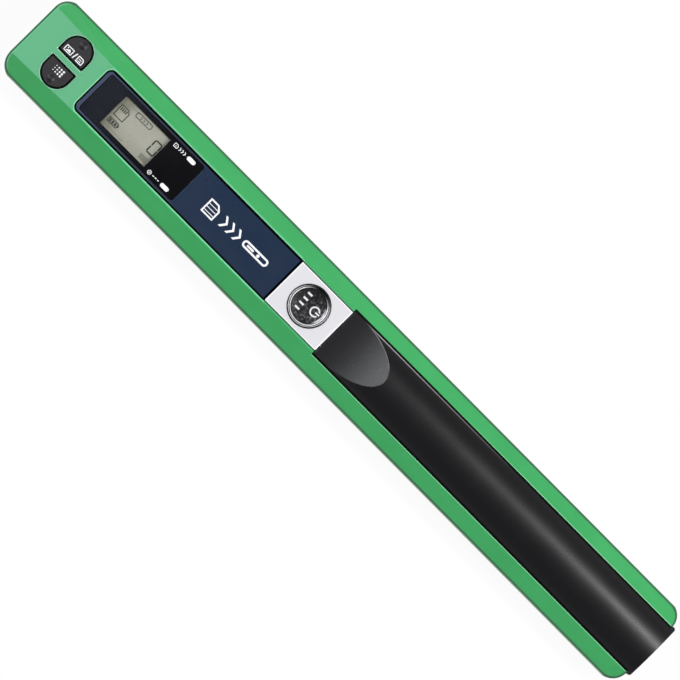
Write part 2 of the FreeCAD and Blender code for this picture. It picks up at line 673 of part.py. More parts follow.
def make_display_panel():
    top = TOP_Z + PANEL_PROUD
    panel = plan_prism(panel_outline(0), (SHELF_TOP, top))
    rim = [edge for edge in panel.Edges if edge.BoundBox.ZMin > top - 1e-6]
    outer_rim = [edge for edge in rim if edge.BoundBox.XMin < PANEL_X + PANEL_LENGTH - 0.3]
    panel = panel.makeChamfer(PANEL_BEVEL, outer_rim)
    window = rectangle(WINDOW_X, about(0, WINDOW_HALF), WINDOW_CORNER_R)
    frame = rectangle(window_frame_x(), about(0, FRAME_HALF))
    recess = plan_prism(window, (top - WINDOW_THICK - FIT_GAP, top + 1))
    return cut_all(panel, [recess, plan_prism(frame, (SHELF_TOP - 1, top))])


WINDOW_Z = (TOP_Z + PANEL_PROUD - FIT_GAP - WINDOW_THICK, TOP_Z + PANEL_PROUD - FIT_GAP)
FRAME_TOP = WINDOW_Z[0] - 0.02


def make_display_window():
    x = (WINDOW_X[0] + 0.03, WINDOW_X[1] - 0.03)
    window = plan_prism(rectangle(x, about(0, WINDOW_HALF - 0.03), WINDOW_CORNER_R), WINDOW_Z)
    rim = [edge for edge in window.Edges if edge.BoundBox.ZMin > WINDOW_Z[1] - 1e-6]
    return window.makeChamfer(0.12, rim)


SCREEN_X = (WINDOW_X[0] + SCREEN_FROM_WINDOW, WINDOW_X[0] + SCREEN_FROM_WINDOW + SCREEN_LENGTH)
SCREEN_HALF = SCREEN_WIDTH / 2
GLASS_X = (SCREEN_X[0] - GLASS_BORDER_X, SCREEN_X[1] + GLASS_BORDER_X)
GLASS_HALF = FRAME_HALF - FRAME_WALL - FIT_GAP
GLASS_TOP = FRAME_TOP - FRAME_WALL
GLASS_Z = (GLASS_TOP - GLASS_THICK, GLASS_TOP)
LIGHT_X = WINDOW_X[1] - LIGHT_FROM_WINDOW_END


def make_lcd_frame():
    x = window_frame_x()
    x = (x[0] + FIT_GAP, x[1] - FIT_GAP)
    frame = block(x, about(0, FRAME_HALF - FIT_GAP / 2), (KEY_BOARD_TOP, FRAME_TOP))
    room_half = FRAME_HALF - FRAME_WALL
    room_x = (GLASS_X[0] - FIT_GAP, GLASS_X[1] + FIT_GAP)
    lamp_x = (GLASS_X[1] + FIT_GAP + FRAME_WALL, x[1] - FRAME_WALL)
    tools = [
        block(room_x, about(0, room_half), (KEY_BOARD_TOP - 1, GLASS_TOP)),
        block(lamp_x, about(0, room_half), (KEY_BOARD_TOP - 1, GLASS_TOP)),
        block(SCREEN_X, about(0, SCREEN_HALF), (GLASS_TOP - 1, FRAME_TOP + 1)),
    ]
    for side in (1, -1):
        hole = pill_outline(LIGHT_X, side * LIGHT_Y, 0.03)
        tools.append(plan_prism(hole, (GLASS_TOP - 1, FRAME_TOP + 1)))
    return cut_all(frame, tools)


def make_lcd_glass():
    lower = block(GLASS_X, about(0, GLASS_HALF), (GLASS_Z[0], GLASS_Z[0] + GLASS_THICK / 2))
    upper_half = GLASS_HALF - 0.4
    upper = block(GLASS_X, about(0, upper_half), (GLASS_Z[0] + GLASS_THICK / 2, GLASS_Z[1]))
    return join([lower, upper])


STRIP_Y = GLASS_HALF - STRIP_WIDTH / 2 - 0.1


def make_lcd_reflector():
    half = STRIP_Y - STRIP_WIDTH / 2 - 0.3
    return block(SCREEN_X, about(0, half), (GLASS_Z[0] - REFLECTOR_THICK, GLASS_Z[0]))


def make_contact_strips():
    z = (KEY_BOARD_TOP, GLASS_Z[0])
    return [block(SCREEN_X, about(side * STRIP_Y, STRIP_WIDTH / 2), z) for side in (1, -1)]


def make_light_pipe(side):
    pipe = plan_prism(pill_outline(LIGHT_X, side * LIGHT_Y, 0), (KEY_BOARD_TOP + LED_HEIGHT + 0.1, FRAME_TOP))
    half_x = LIGHT_LENGTH / 2 + 0.4
    flange_y = sorted((side * (LIGHT_Y - 1.3), side * (FRAME_HALF - FRAME_WALL - 0.05)))
    flange = block(about(LIGHT_X, half_x), flange_y, (GLASS_TOP - 0.8, GLASS_TOP))
    return join([pipe, flange])


def make_status_leds():
    z = (KEY_BOARD_TOP, KEY_BOARD_TOP + LED_HEIGHT)
    return [block(about(LIGHT_X, 0.8), about(side * LIGHT_Y, 0.4), z) for side in (1, -1)]


# Keys and the round button

def make_d_key(side):
    """Key cap with a rounded top edge, a pip to feel for, a flange and a stem."""
    top = TOP_Z + KEY_PROUD
    flange_top = CEILING_Z - 0.3
    flange_bottom = flange_top - KEY_FLANGE_THICK
    cap = plan_prism(key_outline(side, -KEY_GAP), (flange_bottom, top))
    rim = [edge for edge in cap.Edges if edge.BoundBox.ZMin > top - 1e-6]
    cap = cap.makeFillet(KEY_EDGE_R, rim)
    flange_x = about(KEY_X, KEY_HOLE_R + KEY_FLANGE)
    flange_y = sorted((side * (KEY_BAR / 2 - 0.2), side * (KEY_BAR / 2 + KEY_DEPTH - 1.0)))
    flange = block(flange_x, flange_y, (flange_bottom, flange_top))
    pip_y = side * (KEY_BAR / 2 + KEY_DEPTH - PIP_FROM_ROUND_END)
    ball_r = (PIP_R ** 2 + PIP_HEIGHT ** 2) / (2 * PIP_HEIGHT)
    pip = Part.makeSphere(ball_r, Vector(KEY_X, pip_y, top + PIP_HEIGHT - ball_r))
    pip = pip.common(rod_z(PIP_R + 0.2, KEY_X, pip_y, (top - 0.1, top + PIP_HEIGHT)))
    stem = rod_z(KEY_STEM_R, KEY_X, key_switch_y(side), (PLUNGER_TOP, flange_bottom + 0.2))
    return join([cap, flange, pip, stem])


def key_switch_y(side):
    return side * (KEY_BAR / 2 + KEY_DEPTH / 2)


SWITCH_TOP = KEY_BOARD_TOP + SWITCH_HEIGHT
PLUNGER_TOP = SWITCH_TOP + PLUNGER_PROUD
SWITCH_SPOTS = [(KEY_X, key_switch_y(1)), (KEY_X, key_switch_y(-1)), (BUTTON_X, 0.0)]


def make_key_switches():
    switches = []
    for x, y in SWITCH_SPOTS:
        case = block(about(x, SWITCH_SIZE / 2), about(y, SWITCH_SIZE / 2), (KEY_BOARD_TOP, SWITCH_TOP))
        well = rod_z(PLUNGER_R + KEY_GAP / 2, x, y, (KEY_BOARD_TOP + 0.3, SWITCH_TOP + 1))
        switches.append(case.cut(well))
    return switches


def make_plunger(spot):
    """Round plunger that reaches from inside the switch to the key's stem."""
    return rod_z(PLUNGER_R, *spot, (KEY_BOARD_TOP + 0.3 + KEY_TRAVEL + 0.2, PLUNGER_TOP))


def make_button_plate():
    top = TOP_Z + PANEL_PROUD
    plate = plan_prism(plate_outline(0), (SHELF_TOP, top))
    rim = [edge for edge in plate.Edges if edge.BoundBox.ZMin > top - 1e-6]
    plate = plate.makeChamfer(0.15, rim)
    return plate.cut(rod_z(RING_R + SEAT_GAP, BUTTON_X, 0, (SHELF_TOP - 1, top + 1)))


def make_scan_button_ring():
    inner = BUTTON_R + KEY_GAP
    crest = TOP_Z + RING_PROUD
    low = crest - RING_WIDTH / 2
    middle = inner + RING_WIDTH / 2
    wire = Part.Wire([
        Part.LineSegment(Vector(inner, 0, SHELF_TOP), Vector(inner, 0, low)).toShape(),
        Part.Arc(Vector(inner, 0, low), Vector(middle, 0, crest), Vector(RING_R, 0, low)).toShape(),
        Part.LineSegment(Vector(RING_R, 0, low), Vector(RING_R, 0, SHELF_TOP)).toShape(),
        Part.LineSegment(Vector(RING_R, 0, SHELF_TOP), Vector(inner, 0, SHELF_TOP)).toShape(),
    ])
    ring = Part.Face(wire).revolve(Vector(0, 0, 0), Vector(0, 0, 1), 360)
    ring.translate(Vector(BUTTON_X, 0, 0))
    return ring


def power_mark(centre_x, base_z):
    """Raised ring with a gap and a short bar through it."""
    ring = rod_z(1.6, centre_x, 0, base_z).cut(rod_z(1.15, centre_x, 0, base_z))
    gap = block((centre_x, centre_x + 3), about(0, 0.6), base_z)
    bar = block((centre_x + 0.2, centre_x + 2.0), about(0, 0.22), base_z)
    return ring.cut(gap).fuse(bar)


def line_marks(centre_x, base_z):
    """Raised short bars in a column, like lines on a page."""
    half = 0.85
    return [block(about(centre_x, half), about(y, 0.3), base_z) for y in (-2.7, -0.9, 0.9, 2.7)]


def make_scan_button():
    """Dished round cap with a raised rim and raised marks, a flange below the shelf and a stem."""
    top = TOP_Z + BUTTON_PROUD
    flange_top = SHELF_BOTTOM - 0.3
    flange_bottom = flange_top - BUTTON_FLANGE_THICK
    cap = rod_z(BUTTON_R, BUTTON_X, 0, (flange_top - 0.2, top))
    rim = [edge for edge in cap.Edges if edge.BoundBox.ZMin > top - 1e-6]
    cap = cap.makeFillet(0.3, rim)
    dish_r = BUTTON_R - BUTTON_RIM
    ball_r = (dish_r ** 2 + BUTTON_DISH ** 2) / (2 * BUTTON_DISH)
    dish = Part.makeSphere(ball_r, Vector(BUTTON_X, 0, top + ball_r - BUTTON_DISH))
    cap = cap.cut(dish)
    flange = rod_z(BUTTON_R + BUTTON_FLANGE, BUTTON_X, 0, (flange_bottom, flange_top))
    stem = rod_z(KEY_STEM_R, BUTTON_X, 0, (PLUNGER_TOP, flange_bottom + 0.2))
    mark_z = (top - BUTTON_DISH - 0.3, top - BUTTON_DISH + MARK_HEIGHT)
    marks = [power_mark(BUTTON_X + 2.4, mark_z)] + line_marks(BUTTON_X - 2.2, mark_z)
    return join([cap, flange, stem] + marks)


def make_display_board():
    """Upper board with the display, the lamps and the key switches."""
    x = (INNER_LEFT + 1.2, BULKHEAD_X[0] - 0.5)
    half = POST_Y + SMALL_HEAD_R - 0.4
    board = plan_prism(rectangle(x, about(0, half), 2.0, 1.0), KEY_BOARD_Z)
    post = SCREW_SPOTS[0]
    middle_post = SCREW_SPOTS[1]
    tools = [rod_z(POST_R + 0.3, *post, KEY_BOARD_Z), rod_z(POST_R + 0.3, *middle_post, KEY_BOARD_Z)]
    tools += [rod_z(SMALL_SCREW_R + FIT_GAP, cx, cy, KEY_BOARD_Z) for cx, cy in KEY_POST_SPOTS]
    return cut_all(board, tools)


def make_display_screws():
    seat = KEY_BOARD_Z[0]
    tip = KEY_BOARD_TOP + KEY_SCREW_REACH
    return [screw(x, y, seat, tip, SMALL_HEAD_R, SMALL_SCREW_R, SMALL_HEAD_HEIGHT) for x, y in KEY_POST_SPOTS]


# Main board and what stands on it

BOARD_X = (INNER_LEFT + 0.5, SCREW_SPOTS[1][0] - POST_R - 0.5)
BOARD_HALF = INNER_HALF - 0.25
CONNECTOR_X = (BOARD_X[1] - CONNECTOR_LENGTH - 1.0, BOARD_X[1] - 1.0)
CONNECTOR_TOP = BOARD_TOP + CONNECTOR_HEIGHT
HEADER_X = BOARD_X[1] - HEADER_FROM_BOARD_END
MEMORY_CHIP_X = HEADER_X - HEADER_WIDTH / 2 - MEMORY_CHIP_SIZE / 2 - CHIP_SPACING
PROCESSOR_X = HEADER_X + HEADER_WIDTH / 2 + PROCESSOR_SIZE / 2 + CHIP_SPACING
CRYSTAL_X = MEMORY_CHIP_X - MEMORY_CHIP_SIZE / 2 - CRYSTAL_LENGTH / 2 - CHIP_SPACING
LEAD_R = 0.5
LEAD_Z = BOARD_TOP + 1.0


def make_main_board():
    board = plan_prism(rectangle(BOARD_X, about(0, BOARD_HALF), CORNER_R - WALL, 1.0), (PARTING_Z, BOARD_TOP))
    tools = [rod_z(POST_R + 0.3, *SCREW_SPOTS[0], (PARTING_Z, BOARD_TOP))]
    for x in BOARD_SCREW_X:
        for side in (1, -1):
            tools.append(rod_z(SMALL_SCREW_R + FIT_GAP, x, side * BOSS_Y, (PARTING_Z, BOARD_TOP)))
    return cut_all(board, tools)


def boss_screws(places, seat):
    """Small screws down into the side bosses of the lower housing."""
    screws = []
    for x in places:
        for side in (1, -1):
            tip = PARTING_Z - SMALL_REACH
            screws.append(screw(x, side * BOSS_Y, seat, tip, SMALL_HEAD_R, SMALL_SCREW_R, SMALL_HEAD_HEIGHT))
    return screws


def make_data_port_shell():
    """Open-ended sheet-metal sleeve of the data socket."""
    y = (HALF_WIDTH - 0.3 - PORT_DEPTH, HALF_WIDTH - 0.3)
    z = (BOARD_TOP, BOARD_TOP + PORT_HEIGHT)
    half = PORT_WIDTH / 2
    outer = block(about(PORT_X, half), y, z)
    inner_y = (y[0] + PORT_WALL, y[1] + 1)
    inner = block(about(PORT_X, half - PORT_WALL), inner_y, (z[0] + PORT_WALL, z[1] - PORT_WALL))
    return outer.cut(inner)


def make_data_port_insert():
    """Moulded block at the back of the socket with its contact tongue."""
    y = HALF_WIDTH - 0.3 - PORT_DEPTH + PORT_WALL
    half = PORT_WIDTH / 2 - PORT_WALL
    z = (BOARD_TOP + PORT_WALL, BOARD_TOP + PORT_HEIGHT - PORT_WALL)
    back = block(about(PORT_X, half), (y, y + 2.4), z)
    middle = (z[0] + z[1]) / 2
    tongue = block(about(PORT_X, half - 1.1), (y + 2.4, y + PORT_DEPTH - 2.2), about(middle, 0.35))
    return join([back, tongue])


def make_card_socket():
    """Low metal-topped socket with a slot for the card."""
    x = about(CARD_X, CARD_WIDTH / 2 + SOCKET_WALL + FIT_GAP)
    y = (INNER_HALF - 0.3 - SOCKET_DEPTH, INNER_HALF - 0.3)
    top = CARD_Z[1] + FIT_GAP + SOCKET_WALL
    body = block(x, y, (BOARD_TOP, top))
    slot_y = (HALF_WIDTH - CARD_RECESS - CARD_LENGTH - 0.2, y[1] + 1)
    slot = block(about(CARD_X, CARD_WIDTH / 2 + FIT_GAP), slot_y, (CARD_Z[0] - FIT_GAP, CARD_Z[1] + FIT_GAP))
    lip = block(about(CARD_X, 3.0), (y[1] - 1.6, y[1] + 1), (CARD_Z[1], top + 1))
    return cut_all(body, [slot, lip])


def make_memory_card():
    """Thin card with a stepped long side and a raised grip edge at the outer end."""
    y = (HALF_WIDTH - CARD_RECESS - CARD_LENGTH, HALF_WIDTH - CARD_RECESS)
    x = about(CARD_X, CARD_WIDTH / 2)
    step = 1.3
    shoulder = y[0] + 6.4
    corners = [
        (x[0], y[0], 0.5),
        (x[1] - step, y[0], 0.5),
        (x[1] - step, shoulder, 0.4),
        (x[1], shoulder + step, 0.4),
        (x[1], y[1], 0.5),
        (x[0], y[1], 0.5),
    ]
    thin = CARD_Z[1] - 0.2
    card = plan_prism(corners, (CARD_Z[0], thin))
    grip = block((x[0] + 0.6, x[1] - 0.6), (y[1] - 1.4, y[1] - 0.1), (thin, CARD_Z[1]))
    return join([card, grip])


def make_board_header():
    """Pin strip that joins the main board to the display board."""
    x = about(HEADER_X, HEADER_WIDTH / 2)
    z = (BOARD_TOP, KEY_BOARD_Z[0])
    strip_height = 2.0
    half = HEADER_PITCH * HEADER_PINS / 2
    low = block(x, about(0, half), (z[0], z[0] + strip_height))
    high = block(x, about(0, half), (z[1] - strip_height, z[1]))
    pins = []
    for index in range(HEADER_PINS):
        y = (index - (HEADER_PINS - 1) / 2) * HEADER_PITCH
        pins.append(block(about(HEADER_X, 0.3), about(y, 0.3), z))
    return join([low, high] + pins)


def chip(x, y, length, width, height):
    body = block(about(x, length / 2), about(y, width / 2), (BOARD_TOP, BOARD_TOP + height))
    rim = [edge for edge in body.Edges if edge.BoundBox.ZMin > BOARD_TOP + height - 1e-6]
    return body.makeChamfer(0.2, rim)


def make_small_components():
    """Capacitors, a crystal and the battery lead connector."""
    socket_row = CARD_X - CARD_WIDTH / 2
    port_row = PORT_X + PORT_WIDTH
    row_y = -CARD_WIDTH / 2
    parts = [
        chip(socket_row - 2 * CAP_SPACING * n, row_y, CAP_LENGTH, CAP_WIDTH, CAP_WIDTH)
        for n in range(5)
    ]
    parts += [chip(port_row, CAP_SPACING * (2 - n), CAP_LENGTH, CAP_WIDTH, CAP_WIDTH) for n in range(4)]
    parts.append(chip(CRYSTAL_X, MEMORY_CHIP_Y, CRYSTAL_LENGTH, CRYSTAL_WIDTH, BOARD_THICK))
    parts.append(block(CONNECTOR_X, about(0, CONNECTOR_HALF), (BOARD_TOP, CONNECTOR_TOP)))
    return parts


def make_photo_interrupter():
    """Light gate under the main board that straddles the rim of the encoder disc."""
    gap = (DISC_X[0] - 0.5, DISC_X[1] + 0.5)
    x = (gap[0] - INTERRUPTER_ARM, gap[1] + INTERRUPTER_ARM)
    gate_bottom = WHEEL_Z + 1.1
    body = block(x, about(WHEEL_Y, 1.6), (gate_bottom, PARTING_Z))
    slot_top = WHEEL_Z + DISC_R + 0.25
    hub_room = rod_x(2.1, (x[0] - 1, x[1] + 1), WHEEL_Y, WHEEL_Z)
    return cut_all(body, [block(gap, ALL_Y, (0, slot_top)), hub_room])


# Battery bay and cover

def arch_z(crown, half, y):
    """Height of the arch at y; it falls by COVER_RISE at the cover's own half width."""
    radius = (COVER_HALF ** 2 + COVER_RISE ** 2) / (2 * COVER_RISE) - (CROWN_Z - crown)
    return crown - radius + math.sqrt(radius ** 2 - min(abs(y), half) ** 2)


def arch_face(x, half, bottom, crown):
    """Cross-section with an arched top, upright sides and a flat bottom."""
    edge = arch_z(crown, half, half)
    low_left = Vector(x, -half, bottom)
    high_left = Vector(x, -half, edge)
    high_right = Vector(x, half, edge)
    low_right = Vector(x, half, bottom)
    return Part.Face(Part.Wire([
        Part.LineSegment(low_left, high_left).toShape(),
        Part.Arc(high_left, Vector(x, 0, crown), high_right).toShape(),
        Part.LineSegment(high_right, low_right).toShape(),
        Part.LineSegment(low_right, low_left).toShape(),
    ]))


def arch_prism(x, half, bottom, crown):
    return arch_face(x[0], half, bottom, crown).extrude(Vector(x[1] - x[0], 0, 0))


def make_battery_cover():
    """Arched lid with skirts, tongues under the housing's ledges, a thumb scoop and an end lip."""
    lip_x = BODY_END + LIP_GAP
    lid = arch_prism((COVER_X, lip_x), COVER_HALF, TONGUE_BOTTOM, CROWN_Z)
    edge_z = arch_z(CROWN_Z, COVER_HALF, COVER_HALF)
    long_edges = [
        edge for edge in lid.Edges
        if edge.BoundBox.XLength > 1 and abs(edge.BoundBox.ZMin - edge_z) < 1e-3
    ]
    lid = lid.makeFillet(COVER_EDGE_R, long_edges)
    lip_half = COVER_HALF + LIP_OVERHANG
    lip = arch_prism((lip_x, RIGHT_X), lip_half, TONGUE_BOTTOM - 1, CROWN_Z)
    lip_outline = rectangle((lip_x, RIGHT_X), about(0, lip_half + 0.05), 0.0, LIP_CORNER_R)
    lip = lip.common(plan_prism(lip_outline, (0, CROWN_Z + 1)))
    tongues = []
    for side in (1, -1):
        y = sorted((side * (COVER_HALF - 0.1), side * (COVER_HALF + TONGUE_WIDTH)))
        tongues.append(block((COVER_X + 3, INNER_RIGHT), y, (TONGUE_BOTTOM, TONGUE_TOP)))
    inner_half = COVER_HALF - SKIRT_THICK
    nose_x = COVER_X + COVER_NOSE + 1.3
    hollow = arch_prism((nose_x, lip_x), inner_half, TONGUE_BOTTOM - 1, CROWN_Z - COVER_WALL)
    scoop_floor = CROWN_Z - SCOOP_DEPTH
    nose_z = (TONGUE_BOTTOM - 1, scoop_floor - NOSE_ROOF)
    nose = block((COVER_X - 1, nose_x), about(0, inner_half), nose_z)
    scoop_r = (SCOOP_LENGTH ** 2 + SCOOP_DEPTH ** 2) / (2 * SCOOP_DEPTH)
    scoop_start = Vector(COVER_X, -HALF_WIDTH, scoop_floor + scoop_r)
    scoop = Part.makeCylinder(scoop_r, 2 * HALF_WIDTH, scoop_start, Vector(0, 1, 0))
    return cut_all(join([lid, lip] + tongues), [hollow, nose, scoop])


TRAY_HALF = CELL_R + CELL_CLEARANCE + TRAY_WALL - 0.05
TRAY_TOP = CHANNEL_BOTTOM - 0.2
TRAY_ROOM_X = (TRAY_X + TRAY_WALL, TRAY_END - TRAY_WALL)
EAR_TOP = PARTING_Z + 1.4


def make_battery_tray():
    """Trough for two cells in line, with four ears on the side bosses."""
    tray = block((TRAY_X, TRAY_END), about(0, TRAY_HALF), (TRAY_BOTTOM, TRAY_TOP))
    ears = []
    holes = []
    for x in TRAY_SCREW_X:
        for side in (1, -1):
            y = sorted((side * (TRAY_HALF - 0.5), side * BOARD_HALF))
            ears.append(block(about(x, 3), y, (PARTING_Z, EAR_TOP)))
            holes.append(rod_z(SMALL_SCREW_R + FIT_GAP, x, side * BOSS_Y, (PARTING_Z, EAR_TOP)))
    room_r = CELL_R + CELL_CLEARANCE
    room = rod_x(room_r, TRAY_ROOM_X, 0, CELL_Z)
    upper_room = block(TRAY_ROOM_X, about(0, room_r), (CELL_Z, TRAY_TOP + 1))
    tab_slot = block((TRAY_X - 1, TRAY_END + 1), about(0, 2.1), (CELL_Z + 1, TRAY_TOP + 1))
    return cut_all(join([tray] + ears), [room, upper_room, tab_slot] + holes)


def make_cell(index):
    """Cylindrical cell with its button contact towards the keys."""
    start = CELL_X + index * CELL_LENGTH
    nub_length = 1.0
    nub = rod_x(2.75, (start, start + nub_length + 0.1), 0, CELL_Z)
    body = rod_x(CELL_R, (start + nub_length, start + CELL_LENGTH), 0, CELL_Z)
    ends = [edge for edge in body.Edges if edge.BoundBox.XLength < 1e-6]
    return join([body.makeFillet(0.6, ends), nub])


def contact_plate(x, tab_out):
    """Spring-metal plate against a tray wall, with a tab through the slot in the wall."""
    half = 4.2
    plate = block((x, x + CONTACT_THICK), about(0, half), about(CELL_Z, half))
    tab_x = sorted((x + CONTACT_THICK / 2, x + CONTACT_THICK / 2 + tab_out))
    tab = block(tab_x, about(0, 2.0), (CELL_Z + 1.0, CELL_Z + 1.0 + CONTACT_THICK))
    return join([plate, tab])


def make_plate_contact():
    return contact_plate(TRAY_X + TRAY_WALL, -(TRAY_WALL + 1.0))


SPRING_COIL_R = 3.2
SPRING_WIRE_R = 0.35
SPRING_TURNS = 4


def helix_point(angle, rise):
    y = SPRING_COIL_R * math.cos(angle)
    z = CELL_Z + SPRING_COIL_R * math.sin(angle)
    return Vector(SPRING_X + SPRING_WIRE_R + rise * angle / (2 * math.pi), y, z)


def helix_tangent(angle, rise):
    along = Vector(rise / (2 * math.pi), -SPRING_COIL_R * math.sin(angle), SPRING_COIL_R * math.cos(angle))
    return along.normalize()


def tangent_arc(start, tangent, end):
    """Arc from start to end that leaves start along the tangent."""
    chord = end - start
    side = tangent.cross(chord).cross(tangent).normalize()
    radius = chord.dot(chord) / (2 * chord.dot(side))
    centre = start + side * radius
    middle = centre + ((start + end) * 0.5 - centre).normalize() * radius
    return Part.Arc(start, middle, end).toShape()


def biarc(start, start_tangent, end, end_tangent):
    """Two arcs that join two points with given directions, smoothly."""
    chord = end - start
    spread = 2 * (1 - start_tangent.dot(end_tangent))
    lean = 2 * chord.dot(start_tangent + end_tangent)
    reach = (-lean + math.sqrt(lean ** 2 + 4 * spread * chord.dot(chord))) / (2 * spread)
    meeting = (start + start_tangent * reach + end - end_tangent * reach) * 0.5
    back = tangent_arc(end, end_tangent * -1, meeting)
    middle = back.valueAt((back.FirstParameter + back.LastParameter) / 2)
    return [tangent_arc(start, start_tangent, meeting), Part.Arc(meeting, middle, end).toShape()]


def make_spring_contact():
    """Contact plate with a wound coil that presses on the last cell."""
    plate_x = TRAY_END - TRAY_WALL - CONTACT_THICK
    coil_length = plate_x - SPRING_X - 2 * SPRING_WIRE_R
    rise = coil_length / SPRING_TURNS
    quarter = math.pi / 2
    edges = []
    for step in range(4 * SPRING_TURNS):
        start = step * quarter
        end = start + quarter
        ends = (helix_point(start, rise), helix_tangent(start, rise))
        edges += biarc(*ends, helix_point(end, rise), helix_tangent(end, rise))
    section = Part.Wire([Part.Circle(helix_point(0, rise), helix_tangent(0, rise), SPRING_WIRE_R).toShape()])
    coil = Part.Wire(edges).makePipeShell([section], True, False)
    print(f"battery spring: {SPRING_TURNS} turns, least gap between turns {rise - 2 * SPRING_WIRE_R:.2f} mm")
    return [contact_plate(plate_x, TRAY_WALL + 1.2), coil]


def bent_tube(points, radius, bend):
    """Round tube along straight runs joined by arcs."""
    edges = []
    start = points[0]
    for before, corner, after in zip(points, points[1:], points[2:]):
        back = (before - corner).normalize()
        onward = (after - corner).normalize()
        half_angle = back.getAngle(onward) / 2
        trim = bend / math.tan(half_angle)
        inward = (back + onward).normalize()
        middle = corner + inward * (bend / math.sin(half_angle) - bend)
        edges.append(Part.LineSegment(start, corner + back * trim).toShape())
        edges.append(Part.Arc(corner + back * trim, middle, corner + onward * trim).toShape())
        start = corner + onward * trim
    edges.append(Part.LineSegment(start, points[-1]).toShape())
    direction = (points[1] - points[0]).normalize()
    section = Part.Wire([Part.Circle(points[0], direction, radius).toShape()])
    return Part.Wire(edges).makePipeShell([section], True, False)


def make_battery_leads():
    """Two insulated leads from the contacts to the connector on the main board."""
    z = LEAD_Z
    side = -(TRAY_HALF + LEAD_R + 0.05)
    near = bent_tube([
        Vector(CONNECTOR_X[1], 4.0, z),
        Vector(BULKHEAD_X[1] + 4.0, 4.0, z),
        Vector(TRAY_X - 0.4, 6.5, z),
    ], LEAD_R, 4.0)
    far = bent_tube([
        Vector(CONNECTOR_X[1], -3.0, z),
        Vector(BULKHEAD_X[1], -3.0, z),
        Vector(TRAY_X - 1.0, side, z),
        Vector(TRAY_END - 1.5, side, z),
    ], LEAD_R, 4.0)
    return [near, far]


# Sensor bar

SENSOR_LENS_TOP = SENSOR_TOP - 0.1


def make_sensor_housing():
    """Black bar with a glass seat below, a light-guide groove, a lens slot and an ear at each end."""
    bar = block(SENSOR_X, about(0, SENSOR_HALF), (BOTTOM_Z, SENSOR_TOP))
    ears = []
    for x in ((SENSOR_X[0] - EAR_LENGTH, SENSOR_X[0] + 1), (SENSOR_X[1] - 1, SENSOR_X[1] + EAR_LENGTH)):
        ears.append(block(x, about(0, EAR_HALF), (FLOOR_Z, FLOOR_Z + EAR_THICK)))
    glass_x = (SENSOR_X[0] + SCAN_GLASS_MARGIN - FIT_GAP, SENSOR_X[1] - SCAN_GLASS_MARGIN + FIT_GAP)
    seat_z = BOTTOM_Z - SCAN_GLASS_PROUD + SCAN_GLASS_THICK
    room_x = (glass_x[0] + 1, glass_x[1] - 1)
    lens_y = about(LENS_Y, LENS_WIDTH / 2 + SEAT_GAP)
    guide_y = about(GUIDE_Y, GUIDE_WIDTH / 2 + SEAT_GAP)
    tools = [
        block(glass_x, about(0, SENSOR_HALF - SENSOR_WALL), (0, seat_z)),
        block(room_x, (guide_y[0], lens_y[1]), (seat_z - 0.1, seat_z + 1.2)),
        block(room_x, lens_y, (seat_z, SENSOR_TOP + 1)),
        block(room_x, guide_y, (seat_z, seat_z + 3.2)),
    ]
    return cut_all(join([bar] + ears), tools)


def make_scan_glass():
    x = (SENSOR_X[0] + SCAN_GLASS_MARGIN, SENSOR_X[1] - SCAN_GLASS_MARGIN)
    low = BOTTOM_Z - SCAN_GLASS_PROUD
    return block(x, about(0, SENSOR_HALF - SENSOR_WALL - FIT_GAP), (low, low + SCAN_GLASS_THICK))


def sensor_room_x():
    return (SENSOR_X[0] + SCAN_GLASS_MARGIN + 1.0, SENSOR_X[1] - SCAN_GLASS_MARGIN - 1.0)


def make_rod_lens_array():
    z = (SENSOR_TOP - LENS_HEIGHT, SENSOR_LENS_TOP)
    return block(sensor_room_x(), about(LENS_Y, LENS_WIDTH / 2), z)


def make_light_guide():
    """Clear bar with one corner cut to throw the light on the scan line."""
    top = BOTTOM_Z - SCAN_GLASS_PROUD + SCAN_GLASS_THICK + 3.2
    low = top - 2.3
    y = about(GUIDE_Y, GUIDE_WIDTH / 2)
    outline = [(y[0], low), (y[1] - 0.9, low), (y[1], low + 0.9), (y[1], top), (y[0], top)]
    corners = [(along, height, 0.0) for along, height in outline]
    x = sensor_room_x()
    return section_prism(corners, (x[0] + 1.5, x[1]))


def make_guide_led():
    """Lamp at the near end of the light guide."""
    top = BOTTOM_Z - SCAN_GLASS_PROUD + SCAN_GLASS_THICK + 3.2
    x = sensor_room_x()[0]
    return block((x, x + 1.5), about(GUIDE_Y, GUIDE_WIDTH / 2), (top - 2.3, top))


def make_sensor_board():
    x = (SENSOR_X[0] + 1, SENSOR_X[1] - 1)
    return block(x, about(0, SENSOR_HALF - 0.3), (SENSOR_TOP, SENSOR_BOARD_TOP))


def make_sensor_cable():
    """Flat flexible cable from the sensor board up to the underside of the main board."""
    thick = 0.2
    start = BOARD_X[1] - CABLE_FROM_BOARD_END
    end = start + CABLE_LENGTH
    rise_x = (start + 0.36 * CABLE_LENGTH, start + 0.64 * CABLE_LENGTH)
    low = SENSOR_BOARD_TOP
    high = PARTING_Z
    points = [
        (start, low), (rise_x[0], low), (rise_x[1], high - thick), (end, high - thick),
        (end, high), (rise_x[1] - thick, high), (rise_x[0] - thick, low + thick), (start, low + thick),
    ]
    wire = Part.makePolygon([Vector(x, -CABLE_HALF, z) for x, z in points + points[:1]])
    return Part.Face(wire).extrude(Vector(0, 2 * CABLE_HALF, 0))


# Rollers, gears and encoder

